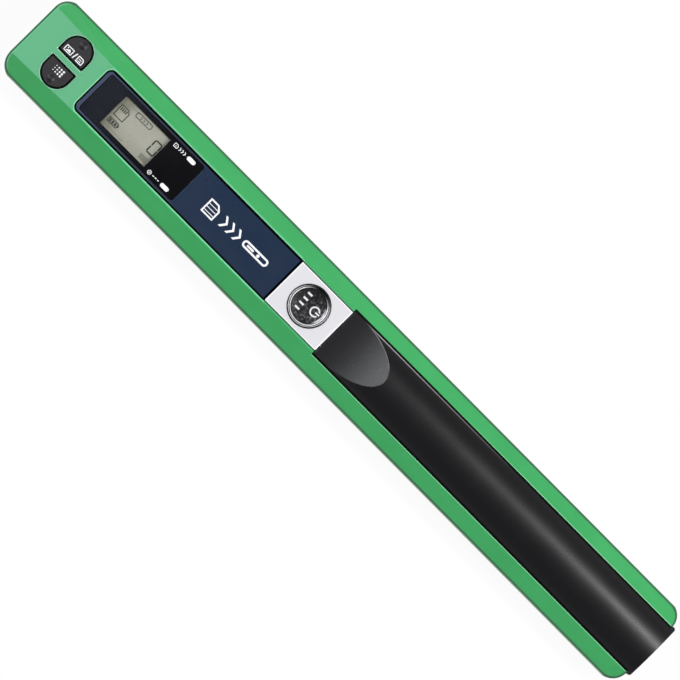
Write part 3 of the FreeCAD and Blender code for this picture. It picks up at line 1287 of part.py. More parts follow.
def gear_face(teeth, x, centre, turn):
    """Gear outline in a cross-section; turn is the angle of one tooth, in degrees."""
    pitch_r = GEAR_MODULE * teeth / 2
    base_r = pitch_r * math.cos(math.radians(20))
    root_r = pitch_r - 1.2 * GEAR_MODULE
    tip_r = pitch_r + 0.85 * GEAR_MODULE

    def involute(angle):
        return math.tan(angle) - angle

    def half_angle(radius):
        pressure = math.acos(min(1.0, base_r / radius))
        thickness = math.pi / (2 * teeth) - GEAR_BACKLASH / (2 * pitch_r)
        return thickness + involute(math.radians(20)) - involute(pressure)

    def point(radius, angle):
        y = centre[0] + radius * math.cos(angle)
        z = centre[1] + radius * math.sin(angle)
        return Vector(x, y, z)

    edges = []
    for tooth in range(teeth):
        middle = math.radians(turn) + 2 * math.pi * tooth / teeth
        flank = [root_r, pitch_r, tip_r]
        rising = [point(radius, middle - half_angle(radius)) for radius in flank]
        falling = [point(radius, middle + half_angle(radius)) for radius in reversed(flank)]
        next_root = middle + 2 * math.pi / teeth - half_angle(root_r)
        root_middle = (middle + half_angle(root_r) + next_root) / 2
        edges += [Part.LineSegment(a, b).toShape() for a, b in zip(rising, rising[1:])]
        edges.append(Part.Arc(rising[-1], point(tip_r, middle), falling[0]).toShape())
        edges += [Part.LineSegment(a, b).toShape() for a, b in zip(falling, falling[1:])]
        edges.append(Part.Arc(falling[-1], point(root_r, root_middle), point(root_r, next_root)).toShape())
    return Part.Face(Part.Wire(edges))


def wheel_direction():
    """Angle from the drive shaft to the encoder axle, in degrees."""
    return math.degrees(math.atan2(WHEEL_Z - SHAFT_Z, WHEEL_Y - AXLE_Y))


def make_drive_gear():
    face = gear_face(DRIVE_TEETH, GEAR_X[0], (AXLE_Y, SHAFT_Z), wheel_direction())
    gear = face.extrude(Vector(GEAR_WIDTH, 0, 0))
    return gear.cut(rod_x(SHAFT_R + SEAT_GAP, about(GEAR_X[0], 5), AXLE_Y, SHAFT_Z))


def make_encoder_wheel():
    """Pinion, hub and slotted disc in one moulding."""
    turn = wheel_direction() + 180 + 180 / WHEEL_TEETH
    centre = (WHEEL_Y, WHEEL_Z)
    pinion = gear_face(WHEEL_TEETH, GEAR_X[0] - 0.2, centre, turn).extrude(Vector(GEAR_WIDTH + 0.4, 0, 0))
    disc = rod_x(DISC_R, DISC_X, *centre)
    hub = rod_x(1.4, (DISC_X[0] - 0.2, GEAR_X[0]), *centre)
    slots = []
    for index in range(DISC_SLOTS):
        slot_x = (DISC_X[0] - 1, DISC_X[1] + 1)
        slot_y = (WHEEL_Y + DISC_R - 1.4, WHEEL_Y + DISC_R - 0.4)
        slot = block(slot_x, slot_y, about(WHEEL_Z, 0.25))
        slot.rotate(Vector(0, *centre), Vector(1, 0, 0), 360 * index / DISC_SLOTS)
        slots.append(slot)
    bore = rod_x(ENCODER_PIN_R + RUNNING_GAP, ALL_X, *centre)
    return cut_all(join([disc, hub, pinion]), slots + [bore])


def make_encoder_axle():
    return rod_x(ENCODER_PIN_R, (INNER_LEFT - 0.4, BUSH_X[0] + 0.4), WHEEL_Y, WHEEL_Z)


def make_drive_shaft():
    shaft = rod_x(SHAFT_R, SHAFT_X, AXLE_Y, SHAFT_Z)
    ends = [edge for edge in shaft.Edges if edge.BoundBox.XLength < 1e-6]
    return shaft.makeChamfer(0.2, ends)


def sleeve(radius, bore_r, x, y):
    """Rubber sleeve on a shaft, with softened edges."""
    tyre = rod_x(radius, x, y, SHAFT_Z)
    ends = [edge for edge in tyre.Edges if edge.BoundBox.XLength < 1e-6]
    tyre = tyre.makeFillet(0.3, ends)
    return tyre.cut(rod_x(bore_r, (x[0] - 1, x[1] + 1), y, SHAFT_Z))


def make_tyre(x):
    return sleeve(TYRE_R, SHAFT_R + SEAT_GAP, about(x, TYRE_LENGTH / 2), AXLE_Y)


def make_idler(x):
    return sleeve(TYRE_R, IDLER_PIN_R + RUNNING_GAP, about(x, IDLER_LENGTH / 2), -AXLE_Y)


def make_idler_pins():
    return [rod_x(IDLER_PIN_R, about(x, PIN_LENGTH / 2), -AXLE_Y, SHAFT_Z) for x in roller_spots()]


def make_shaft_bushes():
    bushes = []
    for x in BUSH_X:
        length = about(x, BUSH_LENGTH / 2)
        bush = rod_x(BUSH_R, length, AXLE_Y, SHAFT_Z)
        bushes.append(bush.cut(rod_x(SHAFT_R + RUNNING_GAP, length, AXLE_Y, SHAFT_Z)))
    return bushes


def make_shaft_clips():
    """Retaining rings beside the bushes."""
    starts = [BUSH_X[0] - BUSH_LENGTH / 2 - 0.3 - CLIP_THICK, BUSH_X[1] + BUSH_LENGTH / 2 + 0.3]
    clips = []
    for start in starts:
        x = (start, start + CLIP_THICK)
        ring = rod_x(CLIP_R, x, AXLE_Y, SHAFT_Z).cut(rod_x(SHAFT_R + SEAT_GAP, x, AXLE_Y, SHAFT_Z))
        clips.append(ring)
    return clips


def save(name, shape):
    """Write one piece, or a group of separate solids, to its own file."""
    solids = []
    for item in shape if isinstance(shape, list) else [shape]:
        solids += item.Solids
    result = solids[0] if len(solids) == 1 else Part.makeCompound(solids)
    result.exportStep(f"parts/{name}.step")
    box = result.BoundBox
    print(f"{name}: {len(solids)} solid, {result.Volume:.1f} mm3, valid {result.isValid()}, "
          f"x {box.XMin:.2f} {box.XMax:.2f} y {box.YMin:.2f} {box.YMax:.2f} z {box.ZMin:.2f} {box.ZMax:.2f}")


PIECES = {
    "upper_housing": make_upper_housing(),
    "lower_housing": make_lower_housing(),
    "housing_screws": make_housing_screws(),
    "display_panel": make_display_panel(),
    "display_window": make_display_window(),
    "lcd_frame": make_lcd_frame(),
    "lcd_glass": make_lcd_glass(),
    "lcd_reflector": make_lcd_reflector(),
    "contact_strips": make_contact_strips(),
    "ready_light_pipe": make_light_pipe(1),
    "fault_light_pipe": make_light_pipe(-1),
    "status_leds": make_status_leds(),
    "button_plate": make_button_plate(),
    "scan_button_ring": make_scan_button_ring(),
    "scan_button": make_scan_button(),
    "scan_plunger": make_plunger(SWITCH_SPOTS[2]),
    "format_key": make_d_key(1),
    "format_plunger": make_plunger(SWITCH_SPOTS[0]),
    "resolution_key": make_d_key(-1),
    "resolution_plunger": make_plunger(SWITCH_SPOTS[1]),
    "key_switches": make_key_switches(),
    "display_board": make_display_board(),
    "display_screws": make_display_screws(),
    "main_board": make_main_board(),
    "main_board_screws": boss_screws(BOARD_SCREW_X, BOARD_TOP),
    "board_header": make_board_header(),
    "processor_chip": chip(PROCESSOR_X, 0, PROCESSOR_SIZE, PROCESSOR_SIZE, CHIP_HEIGHT),
    "memory_chip": chip(MEMORY_CHIP_X, MEMORY_CHIP_Y, MEMORY_CHIP_SIZE, MEMORY_CHIP_SIZE, CHIP_HEIGHT),
    "small_components": make_small_components(),
    "data_port_shell": make_data_port_shell(),
    "data_port_insert": make_data_port_insert(),
    "card_socket": make_card_socket(),
    "memory_card": make_memory_card(),
    "photo_interrupter": make_photo_interrupter(),
    "battery_cover": make_battery_cover(),
    "battery_tray": make_battery_tray(),
    "tray_screws": boss_screws(TRAY_SCREW_X, EAR_TOP),
    "front_cell": make_cell(0),
    "rear_cell": make_cell(1),
    "plate_contact": make_plate_contact(),
    "spring_contact": make_spring_contact(),
    "battery_leads": make_battery_leads(),
    "sensor_housing": make_sensor_housing(),
    "scan_glass": make_scan_glass(),
    "rod_lens_array": make_rod_lens_array(),
    "light_guide": make_light_guide(),
    "guide_led": make_guide_led(),
    "sensor_board": make_sensor_board(),
    "sensor_cable": make_sensor_cable(),
    "drive_shaft": make_drive_shaft(),
    "left_tyre": make_tyre(roller_spots()[0]),
    "right_tyre": make_tyre(roller_spots()[1]),
    "drive_gear": make_drive_gear(),
    "shaft_bushes": make_shaft_bushes(),
    "shaft_clips": make_shaft_clips(),
    "encoder_wheel": make_encoder_wheel(),
    "encoder_axle": make_encoder_axle(),
    "left_idler": make_idler(roller_spots()[0]),
    "right_idler": make_idler(roller_spots()[1]),
    "idler_pins": make_idler_pins(),
}

os.makedirs("parts", exist_ok=True)
for piece_name, piece_shape in PIECES.items():
    save(piece_name, piece_shape)
print(f"length {LENGTH:.2f}, width {2 * HALF_WIDTH:.2f}, height {CROWN_Z:.2f}")
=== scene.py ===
# %% [markdown]
# # A wand-shaped document scanner
# The wand is drawn around solids that are already the right size and shape. This lesson
# loads them, gives each finish a material built from nodes, adds the thin things that a
# solid model leaves out, such as printed marks and the picture on the display, and then
# lights and frames the whole as a studio would.

# %% Load the solids
import json
import math

import bmesh
import bpy
from mathutils import Matrix, Vector


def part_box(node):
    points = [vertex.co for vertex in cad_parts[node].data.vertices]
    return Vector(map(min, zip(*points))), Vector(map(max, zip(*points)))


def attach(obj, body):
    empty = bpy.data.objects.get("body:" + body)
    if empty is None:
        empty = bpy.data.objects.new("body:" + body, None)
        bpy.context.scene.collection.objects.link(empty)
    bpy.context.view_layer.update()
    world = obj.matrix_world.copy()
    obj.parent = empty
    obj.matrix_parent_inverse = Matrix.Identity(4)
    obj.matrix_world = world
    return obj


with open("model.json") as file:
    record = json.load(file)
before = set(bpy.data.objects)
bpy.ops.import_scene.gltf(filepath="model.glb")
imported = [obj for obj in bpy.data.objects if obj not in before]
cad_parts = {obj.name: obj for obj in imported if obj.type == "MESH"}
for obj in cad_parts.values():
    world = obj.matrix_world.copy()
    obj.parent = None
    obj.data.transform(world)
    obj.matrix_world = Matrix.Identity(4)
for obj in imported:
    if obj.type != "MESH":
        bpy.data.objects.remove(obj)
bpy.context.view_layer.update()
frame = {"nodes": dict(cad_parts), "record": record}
nodes = frame["nodes"]


# %% [markdown]
# ## Sizes
# Blender works in metres, but a wand is easier to think of in millimetres. The lines and
# marks of this lesson lie along real pieces, so the boxes of those pieces are measured here.
# One could type the numbers in again, but then a changed solid would leave its lines behind.

# %% Measure the pieces that the lines and marks follow
MM = 0.001
MM_PER_METRE = 1000


def box_in_mm(name):
    """The lowest and the highest corner of a solid, in millimetres."""
    return [[round(MM_PER_METRE * value, 3) for value in corner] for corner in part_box(name)]


def middle_x(name):
    low, high = box_in_mm(name)
    return (low[0] + high[0]) / 2


SHELL_LOW, SHELL_HIGH = box_in_mm("upper_housing")
PANEL_LOW, PANEL_HIGH = box_in_mm("display_panel")
WINDOW_LOW, WINDOW_HIGH = box_in_mm("display_window")
GLASS_LOW, GLASS_HIGH = box_in_mm("lcd_glass")
PLATE_LOW, PLATE_HIGH = box_in_mm("button_plate")
KEY_LOW, KEY_HIGH = box_in_mm("format_key")
LAMP_X = middle_x("ready_light_pipe")
BUTTON_X = middle_x("scan_plunger")
print(f"the panel runs from X {PANEL_LOW[0]} to {PANEL_HIGH[0]}, and the button is at {BUTTON_X}")


# %% [markdown]
# ## Small helpers for materials
# Every finish is a Principled shader with something that varies over its surface. Setting
# up nodes takes two things again and again: giving an input a plain value, or joining it to
# the output of another node. One function does both, so a node is made in one call.

# %% A short way to add and join nodes
def feed(tree, inputs, values):
    """Give each input a plain value, or join it to an output of another node."""
    for name, value in values.items():
        if isinstance(value, bpy.types.NodeSocket):
            tree.links.new(value, inputs[name])
        else:
            inputs[name].default_value = value


def add_node(tree, kind, values=None, **settings):
    node = tree.nodes.new(kind)
    for name, value in settings.items():
        setattr(node, name, value)
    feed(tree, node.inputs, values or {})
    return node


def math_node(tree, operation, *values):
    return add_node(tree, "ShaderNodeMath", dict(enumerate(values)), operation=operation).outputs[0]


def ramp(tree, value, low, high, from_share=0.0, to_share=1.0):
    """from_share at low, to_share at high, and straight in between."""
    return add_node(tree, "ShaderNodeMapRange", {
        "Value": value, "From Min": low, "From Max": high, "To Min": from_share, "To Max": to_share,
    }).outputs["Result"]


def noise(tree, vector, scale, detail=2.0, roughness=0.5):
    return add_node(tree, "ShaderNodeTexNoise", {
        "Vector": vector, "Scale": scale, "Detail": detail, "Roughness": roughness}).outputs["Fac"]


def mix_colours(tree, share, first, second):
    """The first colour where the share is 0 and the second where it is 1."""
    inputs = {"Factor": share, 6: first, 7: second}
    return add_node(tree, "ShaderNodeMix", inputs, data_type="RGBA").outputs[2]


def vector_in_mm(tree):
    """The place on the wand in millimetres, which is the same for every piece."""
    place = add_node(tree, "ShaderNodeTexCoord").outputs["Object"]
    inputs = {0: place, "Scale": MM_PER_METRE}
    return add_node(tree, "ShaderNodeVectorMath", inputs, operation="SCALE").outputs[0]


def rounded_normal(tree, radius, samples):
    return add_node(tree, "ShaderNodeBevel", {"Radius": radius}, samples=samples).outputs["Normal"]


def turned_from_face(tree, normal, bend):
    """0 where a rounded normal is the face's own, and 1 where it turns away."""
    face = add_node(tree, "ShaderNodeNewGeometry").outputs["Normal"]
    both = add_node(tree, "ShaderNodeVectorMath", {0: face, 1: normal}, operation="DOT_PRODUCT")
    return ramp(tree, both.outputs["Value"], *bend)


def linear(red, green, blue):
    """A colour as read off a screen, 0 to 255, made linear for a shader."""
    channels = []
    for value in (red, green, blue):
        share = value / 255
        channels.append(share / 12.92 if share <= 0.04045 else ((share + 0.055) / 1.055) ** 2.4)
    return (*channels, 1.0)


def darker(colour, share):
    return [share * value for value in colour]


def new_material(name):
    """A material with one Principled shader, its nodes, and that shader's inputs."""
    material = bpy.data.materials.new(name)
    material.use_nodes = True
    tree = material.node_tree
    return material, tree, tree.nodes["Principled BSDF"].inputs


print(f"a grey of 128 on a screen is {linear(128, 128, 128)[0]:.3f} in a shader")


# %% [markdown]
# ### Node groups
# An effect that several materials use is a node group with named sockets, built once. The
# wand needs three: a moulded grain for plastic, a worked surface for metal, and smears for
# what is clear. All read Object coordinates, which are the real millimetres of the wand, so
# a grain has the same size on every piece.

# %% Start a node group
COLOUR = "NodeSocketColor"
NUMBER = "NodeSocketFloat"
VECTOR = "NodeSocketVector"
MIDDLE_GREY = (0.5, 0.5, 0.5, 1)


def new_group(name, inputs, outputs):
    """A node group, the outputs of its input node and the inputs of its output node."""
    group = bpy.data.node_groups.new(name, "ShaderNodeTree")
    for label, kind, value in inputs:
        group.interface.new_socket(name=label, in_out="INPUT", socket_type=kind).default_value = value
    for label, kind in outputs:
        group.interface.new_socket(name=label, in_out="OUTPUT", socket_type=kind)
    return group, add_node(group, "NodeGroupInput").outputs, add_node(group, "NodeGroupOutput").inputs


def placed(tree, group, values):
    """A group put into a material with its own values."""
    return add_node(tree, "ShaderNodeGroup", values, node_tree=group).outputs


print("ready to build groups")


# %% [markdown]
# ### Moulded grain
# A moulding tool is etched, so the plastic has a fine grain. One noise at the grain's own
# size drives a bump, and a broad one shifts the colour and the gloss a little, as handling
# and uneven cooling do. A Bevel node rounds the sharp edges for the light only, and where
# its normal differs from the face's own there is an edge, which is painted paler as wear
# and as a painted highlight.

# %% Build the grain group
BROAD_PER_MM = 0.06
BROAD_SPREAD = (0.3, 0.7)
FINE_SHARE = 0.35
GRAIN_DEPTH = 0.02 * MM
EDGE_BEND = (0.995, 0.93)


def build_grain_group():
    group, given, made = new_group("Moulded grain", [
        ("Colour", COLOUR, MIDDLE_GREY), ("Shade", COLOUR, MIDDLE_GREY),
        ("Grain per mm", NUMBER, 2.0), ("Grain height", NUMBER, 0.1),
        ("Roughness low", NUMBER, 0.35), ("Roughness high", NUMBER, 0.5), ("Edge radius", NUMBER, 0.3),
    ], [("Colour", COLOUR), ("Roughness", NUMBER), ("Normal", VECTOR), ("Edge", NUMBER)])
    place = vector_in_mm(group)
    broad = ramp(group, noise(group, place, BROAD_PER_MM, 3), *BROAD_SPREAD)
    fine = noise(group, place, given["Grain per mm"])
    mixed = math_node(group, "MULTIPLY_ADD", fine, FINE_SHARE, broad)
    gloss = ramp(group, mixed, 0.0, 1.0 + FINE_SHARE, given["Roughness low"], given["Roughness high"])
    radius = math_node(group, "MULTIPLY", given["Edge radius"], MM)
    soft_edge = rounded_normal(group, radius, 4)
    bump = add_node(group, "ShaderNodeBump", {
        "Distance": GRAIN_DEPTH, "Strength": given["Grain height"], "Height": fine, "Normal": soft_edge})
    feed(group, made, {
        "Colour": mix_colours(group, broad, given["Colour"], given["Shade"]),
        "Roughness": gloss,
        "Normal": bump.outputs["Normal"],
        "Edge": turned_from_face(group, soft_edge, EDGE_BEND)})
    return group


GRAIN = build_grain_group()
print("the grain group has", len(GRAIN.nodes), "nodes")


# %% [markdown]
# ### One recipe for all the mouldings
# Green shells, black cover, keys, rubber and boards differ in colour, grain and gloss, so
# one function makes them from the group. Edges are painted a little paler than the rest, as
# wear and as a painted highlight.

# %% Make a moulded finish
def moulded(
        name, colour, shade, rough, grain=(2.0, 0.1), edge_wear_and_lighting=None, edge=0.1, specular=0.5, subsurface=0.0):
    """Grain is its count per mm and its height, and edge the radius in mm of the edge, whose tone is
    painted as wear and as painted light.
    """
    material, tree, shader = new_material(name)
    look = placed(tree, GRAIN, {
        "Colour": linear(*colour), "Shade": linear(*shade),
        "Grain per mm": grain[0], "Grain height": grain[1],
        "Roughness low": rough[0], "Roughness high": rough[1], "Edge radius": edge})
    # The edge tone is painted: wear, and a painted highlight where a rounded edge would catch light.
    feed(tree, shader, {
        "Base Color": mix_colours(tree, look["Edge"], look["Colour"], linear(*(edge_wear_and_lighting or colour))),
        "Roughness": look["Roughness"], "Normal": look["Normal"],
        "Specular IOR Level": specular, "Subsurface Weight": subsurface})
    return material


FINISH = {
    "cover_black": moulded(
        "Cover black", (21, 21, 23), (18, 18, 20), rough=(0.25, 0.31),
        grain=(4.0, 0.16), edge_wear_and_lighting=(60, 60, 62), edge=0.3, specular=0.45),
    "key_black": moulded(
        "Key charcoal", (30, 27, 31), (26, 23, 27), rough=(0.36, 0.46),
        grain=(4.0, 0.15), edge_wear_and_lighting=(52, 50, 53), edge=0.2, specular=0.36),
    "panel_blue": moulded(
        "Panel navy", (7, 34, 62), (6, 31, 58), rough=(0.25, 0.35),
        grain=(3.0, 0.05), edge_wear_and_lighting=(40, 58, 84), edge=0.2, specular=0.4),
    "plate_white": moulded(
        "Plate white", (213, 213, 217), (209, 207, 212), rough=(0.3, 0.42),
        grain=(3.0, 0.06), edge_wear_and_lighting=(250, 250, 250), edge=0.25),
    "inner_black": moulded(
        "Inner black", (30, 30, 33), (24, 24, 27), rough=(0.5, 0.65),
        grain=(2.5, 0.25), edge_wear_and_lighting=(44, 44, 47), edge=0.15),
    "inner_white": moulded(
        "Inner white", (222, 222, 216), (214, 214, 207), rough=(0.45, 0.6),
        grain=(2.5, 0.15), edge_wear_and_lighting=(232, 232, 228)),
    "natural_acetal": moulded(
        "Natural acetal", (222, 218, 204), (212, 207, 192), rough=(0.35, 0.5),
        grain=(2.5, 0.1), edge_wear_and_lighting=(234, 231, 220), subsurface=0.08),
    "circuit_board": moulded(
        "Board lacquer", (22, 92, 52), (18, 82, 45), rough=(0.3, 0.45),
        grain=(1.2, 0.2), edge_wear_and_lighting=(70, 120, 74)),
    "chip_body": moulded(
        "Chip body", (32, 32, 34), (26, 26, 28), rough=(0.55, 0.7),
        grain=(5.0, 0.3), edge_wear_and_lighting=(52, 52, 54), edge=0.08),
    "card_black": moulded(
        "Card black", (32, 32, 35), (27, 27, 30), rough=(0.4, 0.55),
        grain=(4.0, 0.2), edge_wear_and_lighting=(52, 52, 55)),
    "roller_rubber": moulded(
        "Roller rubber", (38, 38, 38), (30, 30, 30), rough=(0.7, 0.85),
        grain=(3.0, 0.5), edge_wear_and_lighting=(54, 54, 54), edge=0.2),
    "contact_rubber": moulded(
        "Contact rubber", (86, 86, 90), (70, 70, 74), rough=(0.7, 0.8),
        grain=(2.0, 0.3), edge_wear_and_lighting=(96, 96, 98)),
    "lead_red": moulded(
        "Lead insulation", (168, 34, 32), (150, 28, 28), rough=(0.4, 0.5),
        edge_wear_and_lighting=(180, 52, 50), edge=0.05),
    "cell_sleeve": moulded(
        "Cell sleeve", (52, 74, 104), (46, 66, 94), rough=(0.25, 0.38),
        grain=(2.0, 0.05), edge_wear_and_lighting=(70, 94, 124), edge=0.2),
}
print(len(FINISH), "moulded finishes")


# %% [markdown]
# ### Metals
# Bright metal shows what is around it. Real plating is never perfectly flat, so a slow
# noise bends its normals. Fine scratches that run one way vary its tone and its gloss: they
# are a noise that is squeezed across their run.

# %% Build the metal group
SCRATCHES_PER_MM = 2.5
WAVE_DEPTH = 0.1 * MM


def build_metal_group():
    group, given, made = new_group("Worked metal", [
        ("Colour", COLOUR, MIDDLE_GREY), ("Shade", COLOUR, MIDDLE_GREY), ("Squeeze", VECTOR, (1, 1, 1)),
        ("Waves per mm", NUMBER, 0.4), ("Wave height", NUMBER, 0.2),
        ("Roughness low", NUMBER, 0.2), ("Roughness high", NUMBER, 0.4),
    ], [("Colour", COLOUR), ("Roughness", NUMBER), ("Normal", VECTOR)])
    place = vector_in_mm(group)
    squeezed = add_node(
        group, "ShaderNodeVectorMath", {0: place, 1: given["Squeeze"]}, operation="MULTIPLY")
    scratches = noise(group, squeezed.outputs[0], SCRATCHES_PER_MM, 4)
    bump = add_node(group, "ShaderNodeBump", {
        "Strength": given["Wave height"], "Distance": WAVE_DEPTH,
        "Height": noise(group, place, given["Waves per mm"])})
    feed(group, made, {
        "Colour": mix_colours(group, scratches, given["Colour"], given["Shade"]),
        "Roughness": ramp(group, scratches, 0.0, 1.0, given["Roughness low"], given["Roughness high"]),
        "Normal": bump.outputs["Normal"]})
    return group


METAL = build_metal_group()
print("the metal group has", len(METAL.nodes), "nodes")


# %% Make a metal finish
METAL_SHADE = 0.86


def metal(name, colour, rough, wave, squeeze=(1, 1, 1)):
    """Wave is the count of waves per mm and their height."""
    material, tree, shader = new_material(name)
    look = placed(tree, METAL, {
        "Colour": linear(*colour), "Shade": linear(*darker(colour, METAL_SHADE)), "Squeeze": squeeze,
        "Waves per mm": wave[0], "Wave height": wave[1],
        "Roughness low": rough[0], "Roughness high": rough[1]})
    feed(tree, shader, {
        "Base Color": look["Colour"], "Roughness": look["Roughness"], "Normal": look["Normal"],
        "Metallic": 1.0})
    return material


FINISH.update({
    "sheet_steel": metal(
        "Sheet steel", (198, 199, 202), rough=(0.22, 0.38), wave=(0.3, 0.1), squeeze=(1, 8, 8)),
    "screw_steel": metal("Zinc plated steel", (168, 168, 166), rough=(0.3, 0.45), wave=(0.8, 0.3)),
    "spring_steel": metal("Nickel plated spring", (206, 204, 196), rough=(0.18, 0.3), wave=(0.5, 0.15)),
    "sintered_bush": metal("Sintered bronze", (182, 146, 96), rough=(0.4, 0.55), wave=(1.5, 0.5)),
})
print(len(FINISH), "finishes with the metals")


# %% [markdown]
# ### Clear pieces
# The lamp windows are frosted and the scan glass is plain. Fingers leave smears on what is
# glossy, which change its gloss and, a little, its tint. The smears are a broad noise. A
# clear piece gets a plain transmission, and only its colour and gloss vary.

# %% Build the smear group
def build_smear_group():
    group, given, made = new_group("Smears", [
        ("Smears per mm", NUMBER, 0.12), ("Fineness", NUMBER, 4.0),
        ("Roughness low", NUMBER, 0.05), ("Roughness high", NUMBER, 0.2),
    ], [("Smear", NUMBER), ("Roughness", NUMBER)])
    smear = noise(group, vector_in_mm(group), given["Smears per mm"], given["Fineness"])
    feed(group, made, {
        "Smear": smear,
        "Roughness": ramp(group, smear, 0.0, 1.0, given["Roughness low"], given["Roughness high"])})
    return group


SMEARS = build_smear_group()
print("the smear group has", len(SMEARS.nodes), "nodes")


# %% Make a clear finish
ACRYLIC = 1.49
GLASS = 1.52
SMEARED_SHADE = 0.94


def clear(name, colour, rough, ior, transmission=1.0, painted_glow=0.0):
    material, tree, shader = new_material(name)
    look = placed(tree, SMEARS, {"Roughness low": rough[0], "Roughness high": rough[1]})
    smeared = linear(*darker(colour, SMEARED_SHADE))
    feed(tree, shader, {
        "Base Color": mix_colours(tree, look["Smear"], linear(*colour), smeared),
        "Roughness": look["Roughness"], "Transmission Weight": transmission, "IOR": ior,
        "Emission Color": (1, 1, 1, 1), "Emission Strength": painted_glow})
    return material


FINISH.update({
    "clear_glass": clear("Scan glass", (236, 246, 244), rough=(0.01, 0.06), ior=GLASS),
    # The lamp windows glow a little as lit lamps, and this painted light also lifts the shade in their
    # deep openings.
    "clear_light_pipe": clear(
        "Frosted acrylic", (246, 248, 250), rough=(0.35, 0.5), ior=ACRYLIC, transmission=0.2, painted_glow=0.5),
})
print(len(FINISH), "finishes with the clear ones")


# %% [markdown]
# ## Masks by place
# Several pieces have lines, borders and openings that no solid shows. One could unwrap each
# piece and draw them on an image. Here they are found by where a spot lies, in millimetres
# on the wand, and by how far its surface faces up. Such a mask stays sharp at any distance
# and needs no unwrapping. It is a chain of Math nodes, so a small class keeps them readable.

# %% Masks from the place and the facing of a spot
class Spot:
    """The spot being shaded: its place in millimetres, how far it is across from the wand's
    middle line, and how far it faces up, from 0 for a wall to 1 for a flat top."""

    def __init__(self, material):
        self.tree = material.node_tree
        self.place = vector_in_mm(self.tree)
        self.x, self.y, self.z = self.split(self.place)
        self.up = self.split(add_node(self.tree, "ShaderNodeTexCoord").outputs["Normal"])[2]
        self.across = self.math("ABSOLUTE", self.y)

    def split(self, vector):
        return add_node(self.tree, "ShaderNodeSeparateXYZ", {0: vector}).outputs

    def math(self, operation, *values):
        return math_node(self.tree, operation, *values)

    def ramp(self, value, low, high):
        return ramp(self.tree, value, low, high)

    def above(self, value, edge, soft=0.05):
        """1 where the value is over the edge, and 0 under it."""
        return self.ramp(value, edge - soft, edge + soft)

    def below(self, value, edge, soft=0.05):
        return self.ramp(value, edge + soft, edge - soft)

    def all_of(self, *shares):
        product = shares[0]
        for share in shares[1:]:
            product = self.math("MULTIPLY", product, share)
        return product

    def any_of(self, *shares):
        most = shares[0]
        for share in shares[1:]:
            most = self.math("MAXIMUM", most, share)
        return most

    def band(self, value, low, high, soft=0.04):
        """1 between low and high, and 0 outside."""
        return self.all_of(self.above(value, low, soft), self.below(value, high, soft))


print("ready to test a spot by its place and its facing")


# %% [markdown]
# ### Shapes in plan
# A box is two bands that meet. A circle needs the distance from its middle, and a pill is
# the same with the middle drawn out into a line. The shells' outline is a box with round
# corners, for which the distance inwards from the edge is wanted.

# %% Distances and shapes in plan
SHAPE_SOFT = 0.06


def length_of(spot, east, north):
    squares = [spot.math("MULTIPLY", value, value) for value in (east, north)]
    return spot.math("SQRT", spot.math("ADD", *squares))


def distance_from(spot, x, y):
    """How far a spot lies from a point in plan, in millimetres."""
    return length_of(spot, spot.math("SUBTRACT", spot.x, x), spot.math("SUBTRACT", spot.y, y))


def inside_box(spot, x, y):
    shares = [spot.band(value, *ends, SHAPE_SOFT) for value, ends in ((spot.x, x), (spot.y, y))]
    return spot.all_of(*shares)


def inside_pill(spot, x, y, half_length, radius):
    """1 inside a pill that lies along the wand, with its middle at x, y."""
    off_middle = spot.math("ABSOLUTE", spot.math("SUBTRACT", spot.x, x))
    past_line = spot.math("MAXIMUM", spot.math("SUBTRACT", off_middle, half_length - radius), 0.0)
    distance = length_of(spot, past_line, spot.math("SUBTRACT", spot.y, y))
    return spot.below(distance, radius, SHAPE_SOFT)


def inside_outline(spot, low, high, corner):
    """How far a spot lies inside a box with rounded corners, in millimetres."""
    past = []
    for value, start, end in zip((spot.x, spot.y), low, high):
        off_middle = spot.math("ABSOLUTE", spot.math("SUBTRACT", value, (start + end) / 2))
        beyond = spot.math("SUBTRACT", off_middle, (end - start) / 2 - corner)
        past.append(spot.math("MAXIMUM", beyond, 0.0))
    return spot.math("SUBTRACT", corner, length_of(spot, *past))


print("shapes in plan fade over", 2 * SHAPE_SOFT, "mm")


# %% [markdown]
# ### Painting with masks
# A finish keeps its own node recipe, and tones are laid over it one by one, as a painter
# would. Where a line of painted shade has to be really black, its metallic share is raised as
# well, because a metal with a black base mirrors nothing, while black plastic still shines.

# %% Lay tones over a finish
def paint_over(material, layers):
    """Lay tones over a finish, each where its share is 1; the last lies on top."""
    tree = material.node_tree
    base = tree.nodes["Principled BSDF"].inputs["Base Color"]
    for share, tone in layers:
        tree.links.new(mix_colours(tree, share, base.links[0].from_socket, linear(*tone)), base)


def set_metallic(material, share):
    tree = material.node_tree
    tree.links.new(share, tree.nodes["Principled BSDF"].inputs["Metallic"])


BLACK_SHADE = (3, 3, 4)
print("ready to paint, with black lines of", BLACK_SHADE)


# %% [markdown]
# ### The window
# The display sits under a clear sheet whose back is printed black, all but the screen and
# two pills over the lamps. One could cut the print as a thin piece of its own. Here the
# sheet itself is the black print, and an alpha mask opens it where the real print is left
# open. The frame covers the edges of the display glass, so the screen is smaller than that.

# %% The window's print
FRAME_OVER_ENDS = 2.0
FRAME_OVER_SIDES = 0.6
SCREEN_X = (GLASS_LOW[0] + FRAME_OVER_ENDS, GLASS_HIGH[0] - FRAME_OVER_ENDS)
SCREEN_Y = (GLASS_LOW[1] + FRAME_OVER_SIDES, GLASS_HIGH[1] - FRAME_OVER_SIDES)
LAMP_Y = 5.5
LAMP_HALF_LENGTH = 1.58
LAMP_RADIUS = 0.68
CLEAR_WHERE_OPEN = 0.93
SHEEN_FADE_X = (-98, -78)


